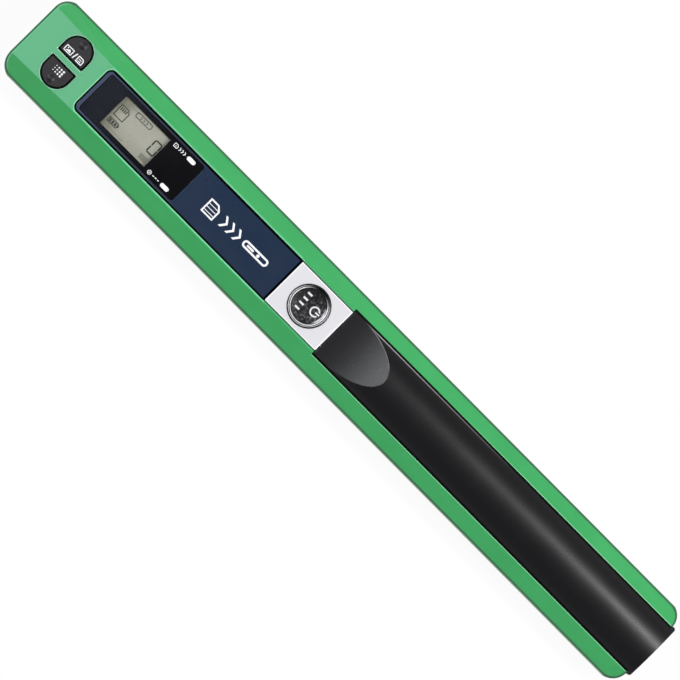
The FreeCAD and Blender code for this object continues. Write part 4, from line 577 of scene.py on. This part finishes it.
def window_finish():
    material, tree, shader = new_material("Window print")
    spot = Spot(material)
    opening = spot.any_of(
        inside_box(spot, SCREEN_X, SCREEN_Y),
        inside_pill(spot, LAMP_X, LAMP_Y, LAMP_HALF_LENGTH, LAMP_RADIUS),
        inside_pill(spot, LAMP_X, -LAMP_Y, LAMP_HALF_LENGTH, LAMP_RADIUS))
    look = placed(tree, SMEARS, {
        "Smears per mm": 0.09, "Fineness": 5, "Roughness low": 0.06, "Roughness high": 0.2})
    # The print is painted lighter towards the key end, a painted reflection that fades along X.
    tone = mix_colours(tree, spot.ramp(spot.x, *SHEEN_FADE_X), linear(24, 27, 36), linear(10, 9, 13))
    feed(tree, shader, {
        "Base Color": tone, "Roughness": look["Roughness"],
        "Alpha": spot.math("MULTIPLY_ADD", opening, -CLEAR_WHERE_OPEN, 1.0),
        "Coat Weight": 0.12, "Coat Roughness": 0.05, "Specular IOR Level": 0.4})
    return material


FINISH["window_tint"] = window_finish()
print("the print is open over the screen, X", SCREEN_X, "and Y", SCREEN_Y)


# %% [markdown]
# ### The green shells
# The shells are one bright green. Their flat top is painted paler at the key end as a painted
# sheen, and the bevelled rims of the cut-outs are the palest, as painted highlights. Pale lines
# of painted highlight lie beside the panel, the plate and the cover, where the edge of the shell
# catches the light, and a dark line of painted shade runs round the outline; the walls and the
# gaps by the cover and the plate get painted shade too. The flat top, the rims and the walls are
# told apart by how far they face up, and the lines by their distance from the middle.

# %% Where the green changes its tone
TOP_HEIGHT = SHELL_HIGH[2]
NEAR_TOP = TOP_HEIGHT - 1.25
SHELL_CORNER = 4.5
COVER_START = PLATE_HIGH[0] - 0.05
FLAT = 0.98
WALL = 0.04
RIM_FACING = (0.645, 0.775)
# Distances from the wand's middle line
PANEL_EDGE = (8.4, 9.0)
PANEL_GLINT = (8.46, 8.7)
PLATE_EDGE = (8.22, 8.62)
PLATE_GAP = (7.5, 8.2)
COVER_EDGE = (9.26, 9.5)
COVER_GAP = 9.29
# Distances inwards from the outline
CONTOUR = 0.54
FAR_SIDE_WIDER = 0.16
END_EDGE = (0.5, 0.85)
print("the shells' flat top lies at", TOP_HEIGHT, "mm")


# %% Tones of the top
def top_tones(spot):
    """A painted sheen that makes the flat top paler at the key end, and painted highlights on the bevelled
    rims of the cut-outs.
    """
    flat = spot.all_of(spot.above(spot.up, FLAT, 0.01), spot.above(spot.z, TOP_HEIGHT - 0.1))
    painted_top_sheen = spot.all_of(flat, spot.below(spot.x, -99, 7))
    rim = spot.all_of(spot.band(spot.up, *RIM_FACING, 0.025), spot.above(spot.z, NEAR_TOP, 0.15))
    end_rim_highlight = spot.all_of(rim, spot.below(spot.x, -106.25, 0.75))
    return (painted_top_sheen, (92, 172, 126)), (rim, (146, 226, 174)), (end_rim_highlight, (176, 244, 204))


def panel_tones(spot):
    """Painted highlights: pale lines on the shell's edge beside the panel and the plate."""
    sloping = spot.above(spot.up, 0.55)
    along_panel = spot.all_of(spot.band(spot.x, PANEL_LOW[0] + 0.45, PANEL_HIGH[0] - 0.55), sloping)
    along_plate = spot.all_of(spot.band(spot.x, PLATE_LOW[0] - 0.3, PLATE_HIGH[0] - 0.15), sloping)
    edge = spot.all_of(along_panel, spot.band(spot.across, *PANEL_EDGE, 0.1))
    glint = spot.all_of(along_panel, spot.band(spot.across, *PANEL_GLINT, 0.05))
    plate_edge = spot.all_of(along_plate, spot.band(spot.across, *PLATE_EDGE, 0.06))
    return (edge, (54, 173, 105)), (plate_edge, (74, 160, 106)), (glint, (104, 206, 148))


def cover_tones(spot):
    """A painted highlight as a pale line on the shell's edge beside the cover, and painted shade that
    makes the gap under it near black.
    """
    past_start = spot.above(spot.x, COVER_START, 0.1)
    near_side_or_end = spot.any_of(spot.below(spot.y, 0, 1), spot.above(spot.x, 50, 20))
    edge = spot.all_of(
        spot.band(spot.across, *COVER_EDGE), past_start, spot.above(spot.up, 0.25), near_side_or_end)
    gap = spot.all_of(
        spot.below(spot.across, COVER_GAP, 0.03), past_start, spot.above(spot.z, TOP_HEIGHT - 1.1, 0.1))
    return (edge, (134, 214, 162)), (gap, (6, 14, 9))


print("rims are where a surface faces up by", RIM_FACING)


# %% Tones of the outline
def outline_tones(spot):
    """Painted shade as a dark line round the outline, a painted highlight on the edge at the key end, and
    painted shade on the wall, darkest at its top.
    """
    inside = inside_outline(spot, SHELL_LOW, SHELL_HIGH, SHELL_CORNER)
    # The camera leans, so the painted shade line on the far side is foreshortened and has to be wider.
    far_side = spot.math("MULTIPLY", spot.above(spot.y, 13, 0.5), FAR_SIDE_WIDER)
    contour_shade = spot.all_of(
        spot.below(spot.math("SUBTRACT", inside, far_side), CONTOUR, 0.08),
        spot.above(spot.up, WALL, 0.02), spot.above(spot.z, 12.5, 0.5))
    end_edge_highlight = spot.all_of(spot.band(inside, *END_EDGE, 0.08), spot.below(spot.x, -125.75, 1.25))
    wall = spot.all_of(
        spot.below(spot.up, WALL, 0.02), spot.below(inside, 0.45, 0.15), spot.ramp(spot.z, 6, 16.5))
    return (end_edge_highlight, (104, 186, 138)), (wall, (31, 124, 68)), (contour_shade, (22, 92, 52))


print("the dark outline is", CONTOUR, "mm wide")


# %% The green finish
def green_finish():
    material = moulded(
        "Green shell", (30, 163, 82), (27, 157, 78), rough=(0.36, 0.48),
        grain=(3.0, 0.1), edge_wear_and_lighting=(60, 176, 106), edge=0.3, specular=0.3)
    spot = Spot(material)
    painted_top_sheen, rim, end_rim_highlight = top_tones(spot)
    cover_edge_highlight, cover_gap_shade = cover_tones(spot)
    # Painted shade in the gap beside the plate.
    plate_gap_shade = spot.all_of(
        spot.band(spot.across, *PLATE_GAP), spot.band(spot.x, PLATE_LOW[0] - 0.3, COVER_START + 0.5),
        spot.above(spot.z, TOP_HEIGHT - 1.75, 0.25))
    # Painted sheen, highlights and shade are laid over the green, the last on top.
    paint_over(material, [
        painted_top_sheen, *panel_tones(spot), rim, end_rim_highlight, cover_edge_highlight, cover_gap_shade, *outline_tones(spot),
        (plate_gap_shade, (20, 84, 48))])
    # The painted shade in the cover's gap is made metallic so that it stays black.
    set_metallic(material, cover_gap_shade[0])
    return material


FINISH["green_shell"] = green_finish()
print("the green finish has", len(FINISH["green_shell"].node_tree.nodes), "nodes")


# %% [markdown]
# ### Keys, panel, plate and cover
# The two keys get black painted shade where they drop into their holes. The navy panel is paler
# beside the window, with a painted sheen that fades away from the key end, and has black lines of
# painted shade along its edges and at the seam to the white plate, whose brighter border is a
# painted highlight. The battery cover gets black painted shade at its gaps, and a painted highlight
# runs along its far edge and round the thumb scoop. These are the moulded finishes from before,
# with the lines laid over.

# %% Lines on the keys and the plate
PIP_HEIGHT = 0.35
KEY_TOP = KEY_HIGH[2] - PIP_HEIGHT
PLATE_BORDER = 0.35


def line_the_keys():
    material = FINISH["key_black"]
    spot = Spot(material)
    # Painted shade: below its top the key's edge is black, where it drops into its hole.
    edge = spot.below(spot.z, KEY_TOP - 0.011, 0.009)
    paint_over(material, [(edge, BLACK_SHADE)])
    set_metallic(material, edge)


def line_the_plate():
    material = FINISH["plate_white"]
    spot = Spot(material)
    # A painted highlight makes the plate's border brighter.
    border_highlight = spot.any_of(
        spot.above(spot.across, PLATE_HIGH[1] - PLATE_BORDER + 0.05),
        spot.below(spot.x, PLATE_LOW[0] + PLATE_BORDER), spot.above(spot.x, PLATE_HIGH[0] - PLATE_BORDER))
    paint_over(material, [(border_highlight, (250, 250, 251))])


line_the_keys()
line_the_plate()
print(f"the key tops lie at {KEY_TOP:.2f} mm")


# %% Lines on the panel
def line_the_panel():
    """A paler band round the window, dimmer away from the key end as a painted sheen fades, and black
    lines of painted shade at the edges.
    """
    material = FINISH["panel_blue"]
    spot = Spot(material)
    sides = spot.all_of(spot.above(spot.across, WINDOW_HIGH[1] + 0.03), spot.below(spot.x, -64, 2))
    frame_band = spot.any_of(sides, spot.below(spot.x, WINDOW_LOW[0] + 0.02, 0.1))
    sheen_falloff = spot.all_of(sides, spot.ramp(spot.x, -101, -92))
    # Painted shade: black lines on the bevelled edges, the far edge and the seam to the plate.
    line = spot.any_of(
        spot.below(spot.up, 0.89, 0.04), spot.above(spot.y, PANEL_HIGH[1] - 0.6),
        spot.above(spot.x, PANEL_HIGH[0] - 0.55))
    paint_over(material, [(frame_band, (42, 55, 84)), (sheen_falloff, (31, 43, 61)), (line, (3, 4, 8))])
    set_metallic(material, line)


line_the_panel()
print("the panel's long edges lie at Y", PANEL_HIGH[1])


# %% Lines on the cover
COVER_EDGE_Y = 8.61
FAR_HIGHLIGHT = (8.3, 8.62)
SCOOP_X = (2.0, 15.5)
SCOOP_BEND = (0.9985, 0.994)
SCOOP_ROUNDING = 0.3 * MM


def line_the_cover():
    material = FINISH["cover_black"]
    spot = Spot(material)
    # Painted highlights along the far edge and round the scoop.
    far_edge_highlight = spot.all_of(
        spot.band(spot.y, *FAR_HIGHLIGHT, 0.05), spot.above(spot.x, 4, 3), spot.ramp(spot.x, 62, 12))
    any_edge = turned_from_face(spot.tree, rounded_normal(spot.tree, SCOOP_ROUNDING, 8), SCOOP_BEND)
    scoop_highlight = spot.all_of(
        any_edge, spot.band(spot.x, *SCOOP_X), spot.ramp(spot.y, -3, 2), spot.below(spot.across, 8.3, 0.1))
    # Painted shade blackens the gaps.
    gap = spot.all_of(spot.above(spot.across, COVER_EDGE_Y, 0.03), spot.below(spot.x, SHELL_HIGH[0]))
    paint_over(material, [(far_edge_highlight, (150, 144, 148)), (scoop_highlight, (130, 130, 132)), (gap, BLACK_SHADE)])
    set_metallic(material, gap)


line_the_cover()
print("the cover's gaps are black beyond Y", COVER_EDGE_Y)


# %% [markdown]
# ### The round button
# The button is plated dark like smoked chrome, with a face mottled by painted reflections, and
# its raised marks are rubbed bright. The marks are the only flat places of the dish at their
# height, so a test of height and of facing picks them out. The button's rim and the ring's inner
# slope are polished: they mirror the lamps all round but on the far side, where they mirror the
# dark part of the room. Around the dish the foot of the rim is painted dark as shade, but for one
# bright crescent of painted reflection. At this size a true mirror would show only specks of the
# room, so the lights and darks are painted.

# %% Distances on the button
MARK_HEIGHT = 26.32
DISH_RADIUS = 4.7
RIM_RADIUS = 5.42
RING_INSIDE = 6.08
FLECKS_PER_MM = 1.1
print("the dish is", 2 * DISH_RADIUS, "mm wide")


def lit_side(spot, radius):
    """1 all round the button but on its far side."""
    return spot.ramp(spot.math("DIVIDE", spot.y, radius), 0.97, 0.5)


def reflection_flecks(spot, east):
    """Painted reflections: flecks of light on the dish, fewer towards the key end."""
    flecks = spot.ramp(noise(spot.tree, spot.place, FLECKS_PER_MM, 6, 0.7), 0.5, 0.66)
    towards_cover = spot.math("SUBTRACT", east, spot.math("MULTIPLY", spot.y, 0.5))
    return spot.all_of(flecks, spot.math("MULTIPLY_ADD", spot.ramp(towards_cover, -2.4, 6.1), 0.85, 0.15))


# %% The button finish
def button_finish():
    material = metal("Dark plated button", (27, 27, 30), rough=(0.24, 0.4), wave=(0.45, 0.8))
    spot = Spot(material)
    east = spot.math("SUBTRACT", spot.x, BUTTON_X)
    radius = distance_from(spot, BUTTON_X, 0.0)
    raised = spot.all_of(
        spot.below(radius, DISH_RADIUS, 0.1), spot.above(spot.up, 0.99775, 0.00075),
        spot.band(spot.z, MARK_HEIGHT - 0.03, MARK_HEIGHT + 0.03, 0.01))
    # Painted reflection on the rim, a painted dark foot as shade, and a painted crescent of reflection.
    rim_reflection = spot.all_of(spot.above(radius, RIM_RADIUS, 0.06), lit_side(spot, radius))
    foot_shade = spot.ramp(radius, DISH_RADIUS + 0.2, DISH_RADIUS + 0.45)
    crescent_reflection = spot.all_of(
        spot.band(radius, DISH_RADIUS + 0.12, RIM_RADIUS - 0.15, 0.12),
        spot.ramp(spot.math("DIVIDE", east, radius), 0.78, 0.96))
    paint_over(material, [
        (reflection_flecks(spot, east), (160, 160, 162)), (foot_shade, (14, 14, 16)), (crescent_reflection, (190, 190, 193)),
        (raised, (226, 226, 228)), (rim_reflection, (238, 238, 240))])
    set_metallic(material, spot.math("MULTIPLY_ADD", spot.any_of(raised, rim_reflection), -0.35, 0.5))
    return material


def ring_finish():
    """Painted reflections: bright on the ring's inner slope and dark outside, as a thin ring mirrors a
    room.
    """
    material = metal("Chromed ring", (64, 64, 68), rough=(0.12, 0.24), wave=(0.3, 0.1))
    spot = Spot(material)
    radius = distance_from(spot, BUTTON_X, 0.0)
    inner_slope = spot.below(radius, RING_INSIDE, 0.03)
    ring_reflection = spot.all_of(inner_slope, lit_side(spot, radius))
    paint_over(material, [(inner_slope, (30, 30, 33)), (ring_reflection, (242, 242, 244))])
    set_metallic(material, spot.math("MULTIPLY_ADD", ring_reflection, -0.6, 0.7))
    return material


FINISH["button_mirror"] = button_finish()
FINISH["ring_chrome"] = ring_finish()
print("the button's rim is polished from", RIM_RADIUS, "to", RING_INSIDE, "mm from its middle")


# %% [markdown]
# ### The display glass
# A display of this kind is a grey-green glass. It lies in a deep frame, so painted shade dims
# it towards the key end and a little along its near side, most in the corners.

# %% The display's glass
def display_finish():
    material = moulded(
        "Display glass", (186, 186, 173), (180, 180, 166), rough=(0.2, 0.3),
        grain=(1.0, 0.02), edge_wear_and_lighting=(170, 172, 158), edge=0.05)
    spot = Spot(material)
    near_side_shade = spot.ramp(spot.y, -1.0, -3.4)
    key_end_shade = spot.ramp(spot.x, -91.5, -95.5)
    # Painted shade, deepest in the corners at the key end.
    corners = spot.all_of(spot.ramp(spot.x, -89.5, -92.5), spot.ramp(spot.across, 1.0, 3.2))
    paint_over(material, [
        (near_side_shade, (175, 175, 160)), (key_end_shade, (152, 152, 132)), (corners, (144, 144, 125))])
    return material


FINISH["display_grey"] = display_finish()
print(len(FINISH), "finishes in all")


# %% [markdown]
# ### Dressing the solids
# The record says which finish each solid's slot takes, so a loop can dress them all.

# %% Dress every solid with the finish of its slot
slot_of = {entry["node"]: entry["material_slot"] for entry in frame["record"]["subparts"]}
for name, solid in nodes.items():
    for material_slot in solid.material_slots:
        material_slot.material = FINISH[slot_of[name]]
print(len(nodes), "solids dressed")


# %% [markdown]
# ## Printed marks
# Prints on plastic are films of ink a few hundredths of a millimetre thick. They could be
# images on the surface, but a thin plate of ink stays sharp at any distance, and moves with
# its key. Each mark starts as a flat face from a few corners, which may be rounded or left
# as an outline, and is then pushed up to the ink's thickness. Plain picture signs are used.

# %% Draw a flat mark and thicken it
INK = 0.03


def corners_of(x, y):
    return [(x[0], y[0]), (x[1], y[0]), (x[1], y[1]), (x[0], y[1])]


def circle_of(x, y, radius, steps):
    turns = [2 * math.pi * n / steps for n in range(steps)]
    return [(x + radius * math.cos(turn), y + radius * math.sin(turn)) for turn in turns]


def add_mark(shape, corners, z, line=None, rounded=0.0, steps=4):
    """A plate of ink over corners in millimetres; line leaves only an outline that wide."""
    earlier = set(shape.faces)
    points = [shape.verts.new((x * MM, y * MM, z * MM)) for x, y in corners]
    face = shape.faces.new(points)
    face.normal_update()
    if rounded:
        bmesh.ops.bevel(
            shape, geom=points, offset=rounded * MM, segments=steps, profile=0.5,
            affect="VERTICES", material=-1)
        face = max((f for f in shape.faces if f not in earlier), key=lambda f: f.calc_area())
    keep = [face]
    if line:
        result = bmesh.ops.inset_region(
            shape, faces=[face], thickness=line * MM, use_boundary=True, use_even_offset=True)
        bmesh.ops.delete(shape, geom=[face], context="FACES")
        keep = result["faces"]
    raised = bmesh.ops.extrude_face_region(shape, geom=keep)
    lifted = [item for item in raised["geom"] if isinstance(item, bmesh.types.BMVert)]
    bmesh.ops.translate(shape, verts=lifted, vec=(0, 0, INK * MM))


def add_box(shape, x, y, width, height, z, line=None, rounded=0.0, steps=4):
    """A mark in the shape of a box, standing on its lower left corner."""
    add_mark(shape, corners_of((x, x + width), (y, y + height)), z, line, rounded, steps)


def add_dot(shape, x, y, z, radius, steps=16):
    add_mark(shape, circle_of(x, y, radius, steps), z)


def finish_piece(name, shape, material, body):
    """Turn a drawn shape into a piece of the wand that rides on one of its bodies."""
    bmesh.ops.recalc_face_normals(shape, faces=shape.faces[:])
    mesh = bpy.data.meshes.new(name)
    shape.to_mesh(mesh)
    shape.free()
    piece = bpy.data.objects.new(name, mesh)
    bpy.context.scene.collection.objects.link(piece)
    mesh.materials.append(material)
    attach(piece, body)
    print(f"{name}: {len(mesh.polygons)} faces on {body}")


WHITE_INK = moulded(
    "White ink", (240, 241, 243), (230, 232, 235), rough=(0.4, 0.55),
    grain=(6.0, 0.1), edge_wear_and_lighting=(240, 240, 240), edge=0.0)
print("ink is", INK, "mm thick")


# %% [markdown]
# ### Signs on the two keys
# The far key chooses the kind of file, so it carries a picture and a page. The near key
# chooses how fine the scan is, so it carries a grid of dots. A picture, a page and an arrow
# head are drawn by functions, because other places on the wand use them too.

# %% Draw a picture, a page and an arrow head
def picture_sign(shape, x, y, z, width, height, line):
    """A framed picture with a hill and a sun, standing on its lower left corner."""
    add_box(shape, x, y, width, height, z, line, 0.25)
    hill = [(x + 0.5, y + 0.5), (x + width - 0.5, y + 0.5), (x + width * 0.62, y + height * 0.68)]
    add_mark(shape, hill, z)
    add_dot(shape, x + width * 0.3, y + height * 0.68, z, 0.2)


def page_sign(shape, x, y, z, width, height, line, rows=2):
    """A sheet with a cut corner and rows of writing."""
    cut = height * 0.3
    right = x + width
    top = y + height
    add_mark(shape, [(x, y), (right, y), (right, top - cut), (right - cut, top), (x, top)], z, line)
    for n in range(rows):
        row_y = y + height * (n + 1) / (rows + 1.4)
        add_mark(shape, corners_of((x + 0.55, right - 0.6), (row_y - 0.11, row_y + 0.11)), z)


def chevron(shape, x, y, z, width, height, line):
    """An arrow head that points to the right."""
    middle = y + height / 2
    corners = [
        (x, y), (x + line, y), (x + width, middle), (x + line, y + height), (x, y + height),
        (x + width - line, middle)]
    add_mark(shape, corners, z)


print("ready to draw signs")


# %% Key signs
KEY_MIDDLE = (KEY_LOW[0] + KEY_HIGH[0]) / 2
SIGN_HEIGHT = 2.0
SIGN_LINE = 0.28


def far_key_signs():
    shape = bmesh.new()
    left = KEY_MIDDLE - 3.6
    low = 1.95
    high = low + SIGN_HEIGHT
    picture_sign(shape, left, low, KEY_TOP, 3.0, SIGN_HEIGHT, SIGN_LINE)
    slash = [(left + 3.5, low), (left + 3.85, low), (left + 4.35, high), (left + 4.0, high)]
    add_mark(shape, slash, KEY_TOP)
    page_sign(shape, left + 4.85, low, KEY_TOP, 2.3, SIGN_HEIGHT, SIGN_LINE)
    finish_piece("format_sign", shape, WHITE_INK, "far_key")


def near_key_signs():
    """The dots grow from one column to the next."""
    shape = bmesh.new()
    left = KEY_MIDDLE - 1.35
    low = -4.4
    for column in range(4):
        for row in range(3):
            add_dot(shape, left + 0.95 * column, low + 0.85 * row, KEY_TOP, 0.17 + 0.055 * column)
    finish_piece("resolution_sign", shape, WHITE_INK, "near_key")


far_key_signs()
near_key_signs()


# %% [markdown]
# ### Signs by the lamps and on the panel
# By each lamp is a small sign: a page for a scan under way, and a slashed ring for a fault.
# On the navy panel a row of signs shows a sheet that is read into the wand.

# %% Lamp signs
WINDOW_TOP = WINDOW_HIGH[2]
LAMP_SIGNS_X = -75.2
TRAIL_PITCH = 0.95


def scan_sign(shape):
    low = 4.85
    page_sign(shape, LAMP_SIGNS_X, low, WINDOW_TOP, 1.5, 1.3, 0.2, 1)
    for n in range(3):
        x = LAMP_SIGNS_X + 2.0 + TRAIL_PITCH * n
        chevron(shape, x, low + 0.1, WINDOW_TOP, 0.7, 1.1, 0.3)


def fault_sign(shape):
    left = LAMP_SIGNS_X
    low = -6.15
    add_mark(shape, circle_of(left + 0.7, low + 0.65, 0.68, 24), WINDOW_TOP, 0.2)
    bar = [(0.25, 0.32), (0.4, 0.17), (1.15, 0.98), (1.0, 1.13)]
    add_mark(shape, [(left + x, low + y) for x, y in bar], WINDOW_TOP)
    for n in range(3):
        add_box(shape, left + 2.0 + TRAIL_PITCH * n, low + 0.5, 0.6, 0.3, WINDOW_TOP)


def lamp_signs():
    shape = bmesh.new()
    scan_sign(shape)
    fault_sign(shape)
    finish_piece("lamp_signs", shape, WHITE_INK, "housing")


lamp_signs()


# %% The panel's signs
PANEL_TOP = PANEL_HIGH[2]


def panel_signs():
    shape = bmesh.new()
    left = -56.3
    low = -2.7
    page_sign(shape, left, low, PANEL_TOP, 4.6, 4.9, 0.5, 3)
    for n in range(3):
        chevron(shape, left + 6.6 + 2.7 * n, low + 0.6, PANEL_TOP, 2.2, 3.7, 0.8)
    wand_left = left + 15.4
    add_box(shape, wand_left, low + 1.2, 9.8, 2.4, PANEL_TOP, 0.6, 1.1, 6)
    add_box(shape, wand_left + 1.6, low + 2.1, 2.6, 0.6, PANEL_TOP)
    add_dot(shape, wand_left + 6.0, low + 2.4, PANEL_TOP, 0.5)
    finish_piece("panel_signs", shape, WHITE_INK, "housing")


panel_signs()


# %% [markdown]
# ### The picture on the display
# A display of this kind has fixed dark shapes: a card, a battery, a rounded tag, a digit in
# seven bars, and fainter boxes for shapes that are off. They lie on the display's glass.

# %% Dark shapes
SCREEN_TOP = GLASS_HIGH[2]
LCD_LINE = 0.28
LCD_INK = moulded(
    "Display ink", (44, 45, 38), (52, 53, 45), rough=(0.3, 0.4), grain=(2.0, 0.02), edge=0.0)


def card_shape(shape):
    """A memory card with its cut corner and four contacts."""
    card = [(-94.15, -1.0), (-90.4, -1.0), (-90.4, 2.1), (-91.35, 3.06), (-94.15, 3.06)]
    add_mark(shape, card, SCREEN_TOP, LCD_LINE)
    for n in range(4):
        add_box(shape, -93.5 + 0.62 * n, 1.35, 0.34, 1.1, SCREEN_TOP)


def battery_shape(shape):
    """A battery with its cap and three bars."""
    add_box(shape, -94.15, -3.6, 3.65, 1.7, SCREEN_TOP, LCD_LINE, 0.2)
    add_box(shape, -90.5, -3.1, 0.35, 0.7, SCREEN_TOP)
    for n in range(3):
        add_box(shape, -93.7 + 0.98 * n, -3.2, 0.66, 0.9, SCREEN_TOP)


def tag_shape(shape):
    """A rounded tag with three arrow heads."""
    add_box(shape, -89.2, 3.06, 6.1, 1.74, SCREEN_TOP, 0.24, 0.5)
    for n in range(3):
        chevron(shape, -87.6 + 1.1 * n, 3.45, SCREEN_TOP, 0.75, 0.95, 0.26)


def seven_bar_zero(shape, x, y, width, height, bar, gap):
    """The digit zero from six bars with gaps at the joints; the middle bar is off."""
    middle = y + height / 2
    for bar_y in (y, y + height - bar):
        add_box(shape, x + gap, bar_y, width - 2 * gap, bar, SCREEN_TOP)
    for bar_x in (x, x + width - bar):
        add_mark(shape, corners_of((bar_x, bar_x + bar), (y + gap, middle - gap / 2)), SCREEN_TOP)
        add_mark(shape, corners_of((bar_x, bar_x + bar), (middle + gap / 2, y + height - gap)), SCREEN_TOP)


def display_picture():
    shape = bmesh.new()
    card_shape(shape)
    battery_shape(shape)
    tag_shape(shape)
    seven_bar_zero(shape, -79.9, -1.9, 2.9, 4.67, 0.46, 0.32)
    finish_piece("display_shapes", shape, LCD_INK, "housing")


display_picture()

# %% Faint shapes
LCD_FAINT = moulded(
    "Faint display ink", (132, 132, 118), (140, 140, 126), rough=(0.3, 0.4),
    grain=(2.0, 0.02), edge=0.0)


def faint_picture():
    """A block, and two rows of small boxes along the display's long edges."""
    shape = bmesh.new()
    add_box(shape, -80.2, -4.8, 2.9, 1.74, SCREEN_TOP)
    for count, left, low, height in ((5, -92.3, 4.3, 0.45), (9, -93.9, -4.95, 0.5)):
        for n in range(count):
            add_box(shape, left + 0.85 * n, low, 0.5, height, SCREEN_TOP, 0.12)
    finish_piece("faint_display_shapes", shape, LCD_FAINT, "housing")


faint_picture()


# %% [markdown]
# ## The studio
# The wand lies on white paper under soft lamps, seen from straight above, with the camera
# leaning a little towards the wand's near side. Most of the paper's white is its own glow,
# which only the camera, mirrors and glass see, so it adds no light to the wand's colours.
# The rest is plain paper, which keeps the wand's shadow.

# %% Floor
FLOOR_HALF = 2.0
FLOOR_GLOW = 0.92
FIBRES_PER_METRE = 400


def whiten_for_the_camera(tree):
    ray = add_node(tree, "ShaderNodeLightPath").outputs
    seen = math_node(tree, "MAXIMUM", ray["Is Camera Ray"], ray["Is Glossy Ray"])
    seen = math_node(tree, "MAXIMUM", seen, ray["Is Transmission Ray"])
    blend = add_node(tree, "ShaderNodeMixShader", {
        0: math_node(tree, "MULTIPLY", seen, FLOOR_GLOW),
        1: tree.nodes["Principled BSDF"].outputs[0],
        2: add_node(tree, "ShaderNodeEmission").outputs[0]})
    tree.links.new(blend.outputs[0], tree.nodes["Material Output"].inputs["Surface"])


def white_paper():
    paper, tree, shader = new_material("White paper")
    fibres = noise(tree, add_node(tree, "ShaderNodeTexCoord").outputs["Object"], FIBRES_PER_METRE)
    feed(tree, shader, {
        "Base Color": mix_colours(tree, fibres, (0.93, 0.93, 0.93, 1), (0.90, 0.90, 0.90, 1)),
        "Roughness": 0.9, "Specular IOR Level": 0.1})
    whiten_for_the_camera(tree)
    return paper


def make_floor():
    grid = bmesh.new()
    bmesh.ops.create_grid(grid, x_segments=1, y_segments=1, size=FLOOR_HALF)
    mesh = bpy.data.meshes.new("floor")
    grid.to_mesh(mesh)
    grid.free()
    mesh.materials.append(white_paper())
    floor = bpy.data.objects.new("floor", mesh)
    bpy.context.scene.collection.objects.link(floor)


make_floor()
print("the floor is", 2 * FLOOR_HALF, "m wide")


# %% [markdown]
# ### Lamps and world
# Two broad lamps off the ends of the wand give most of the light. A narrow strip over the
# far end draws the long highlight on the battery cover, and a cool lamp beyond the keys
# fills the thumb scoop. All are low in power, so that a colour renders about as it is
# written. The world is white at the walls, and dark overhead for the dark pieces to mirror.

# %% Lamps
def soft_lamp(name, place, target, size, watts, tint=(1, 1, 1)):
    lamp = bpy.data.lights.new(name, "AREA")
    lamp.shape = "RECTANGLE"
    lamp.size, lamp.size_y = size
    lamp.energy = watts
    lamp.color = tint
    holder = bpy.data.objects.new(name, lamp)
    holder.location = place
    aim = (Vector(target) - Vector(place)).to_track_quat("-Z", "Y")
    holder.rotation_euler = aim.to_euler()
    bpy.context.scene.collection.objects.link(holder)
    print(f"{name}: {watts} W")


soft_lamp("strip", place=(0.355, 0.215, 0.83), target=(0.3, 0.02, 0.02), size=(0.29, 0.045), watts=3.6)
for end, name in ((1.0, "off the far end"), (-1.0, "off the key end")):
    soft_lamp(name, place=(end, 0.1, 1.0), target=(0, 0, 0), size=(0.6, 0.6), watts=6.3)
soft_lamp(
    "beyond the keys", place=(-0.32, 0.06, 0.88), target=(0.0, 0.0, 0.02), size=(0.23, 0.2),
    watts=1.05, tint=(0.95, 0.97, 1.0))

# %% World
WALL_TOP = 0.25
CEILING_EDGE = 0.75
WALL_LIGHT = 1.0
CEILING_LIGHT = 0.05


def studio_world():
    world = bpy.data.worlds.new("Studio")
    bpy.context.scene.world = world
    world.use_nodes = True
    tree = world.node_tree
    direction = add_node(tree, "ShaderNodeTexCoord").outputs["Generated"]
    height = add_node(tree, "ShaderNodeSeparateXYZ", {0: direction}).outputs["Z"]
    feed(tree, tree.nodes["Background"].inputs, {
        "Color": (1, 1, 1, 1),
        "Strength": ramp(tree, height, WALL_TOP, CEILING_EDGE, WALL_LIGHT, CEILING_LIGHT)})


studio_world()
bpy.context.scene.view_settings.view_transform = "Standard"
print("the world's light falls from", WALL_LIGHT, "at the walls to", CEILING_LIGHT, "overhead")


# %% [markdown]
# ### The camera
# The lens is long and the camera far away, so the wand shows hardly any perspective. The
# camera is turned so that the wand lies across the square picture's diagonal.

# %% Camera
PICTURE_PIXELS = 680
PIXELS_PER_MM = 3.435
WAND_TURN = math.radians(45.25)
LEAN = math.radians(2.45)
CAMERA_DISTANCE = 1.8
CAMERA_TARGET = Vector((-0.00075, -0.0005, 0.0255))
SENSOR_WIDTH = 36


def place_camera():
    camera_data = bpy.data.cameras.new("camera")
    camera = bpy.data.objects.new("camera", camera_data)
    bpy.context.scene.collection.objects.link(camera)
    back = Vector((0, -math.sin(LEAN), math.cos(LEAN)))
    right = Vector((math.cos(WAND_TURN), math.sin(WAND_TURN), 0))
    right = (right - back * right.dot(back)).normalized()
    up = back.cross(right)
    turn = Matrix((right, up, back)).transposed().to_4x4()
    camera.matrix_world = Matrix.Translation(CAMERA_TARGET + back * CAMERA_DISTANCE) @ turn
    picture_width = PICTURE_PIXELS / PIXELS_PER_MM * MM
    camera_data.sensor_width = SENSOR_WIDTH
    camera_data.lens = SENSOR_WIDTH * CAMERA_DISTANCE / picture_width
    camera_data.clip_end = 20
    bpy.context.scene.camera = camera
    print(f"lens {camera_data.lens:.0f} mm at {CAMERA_DISTANCE} m")


place_camera()

# %% Bring the scene up to date
bpy.context.view_layer.update()
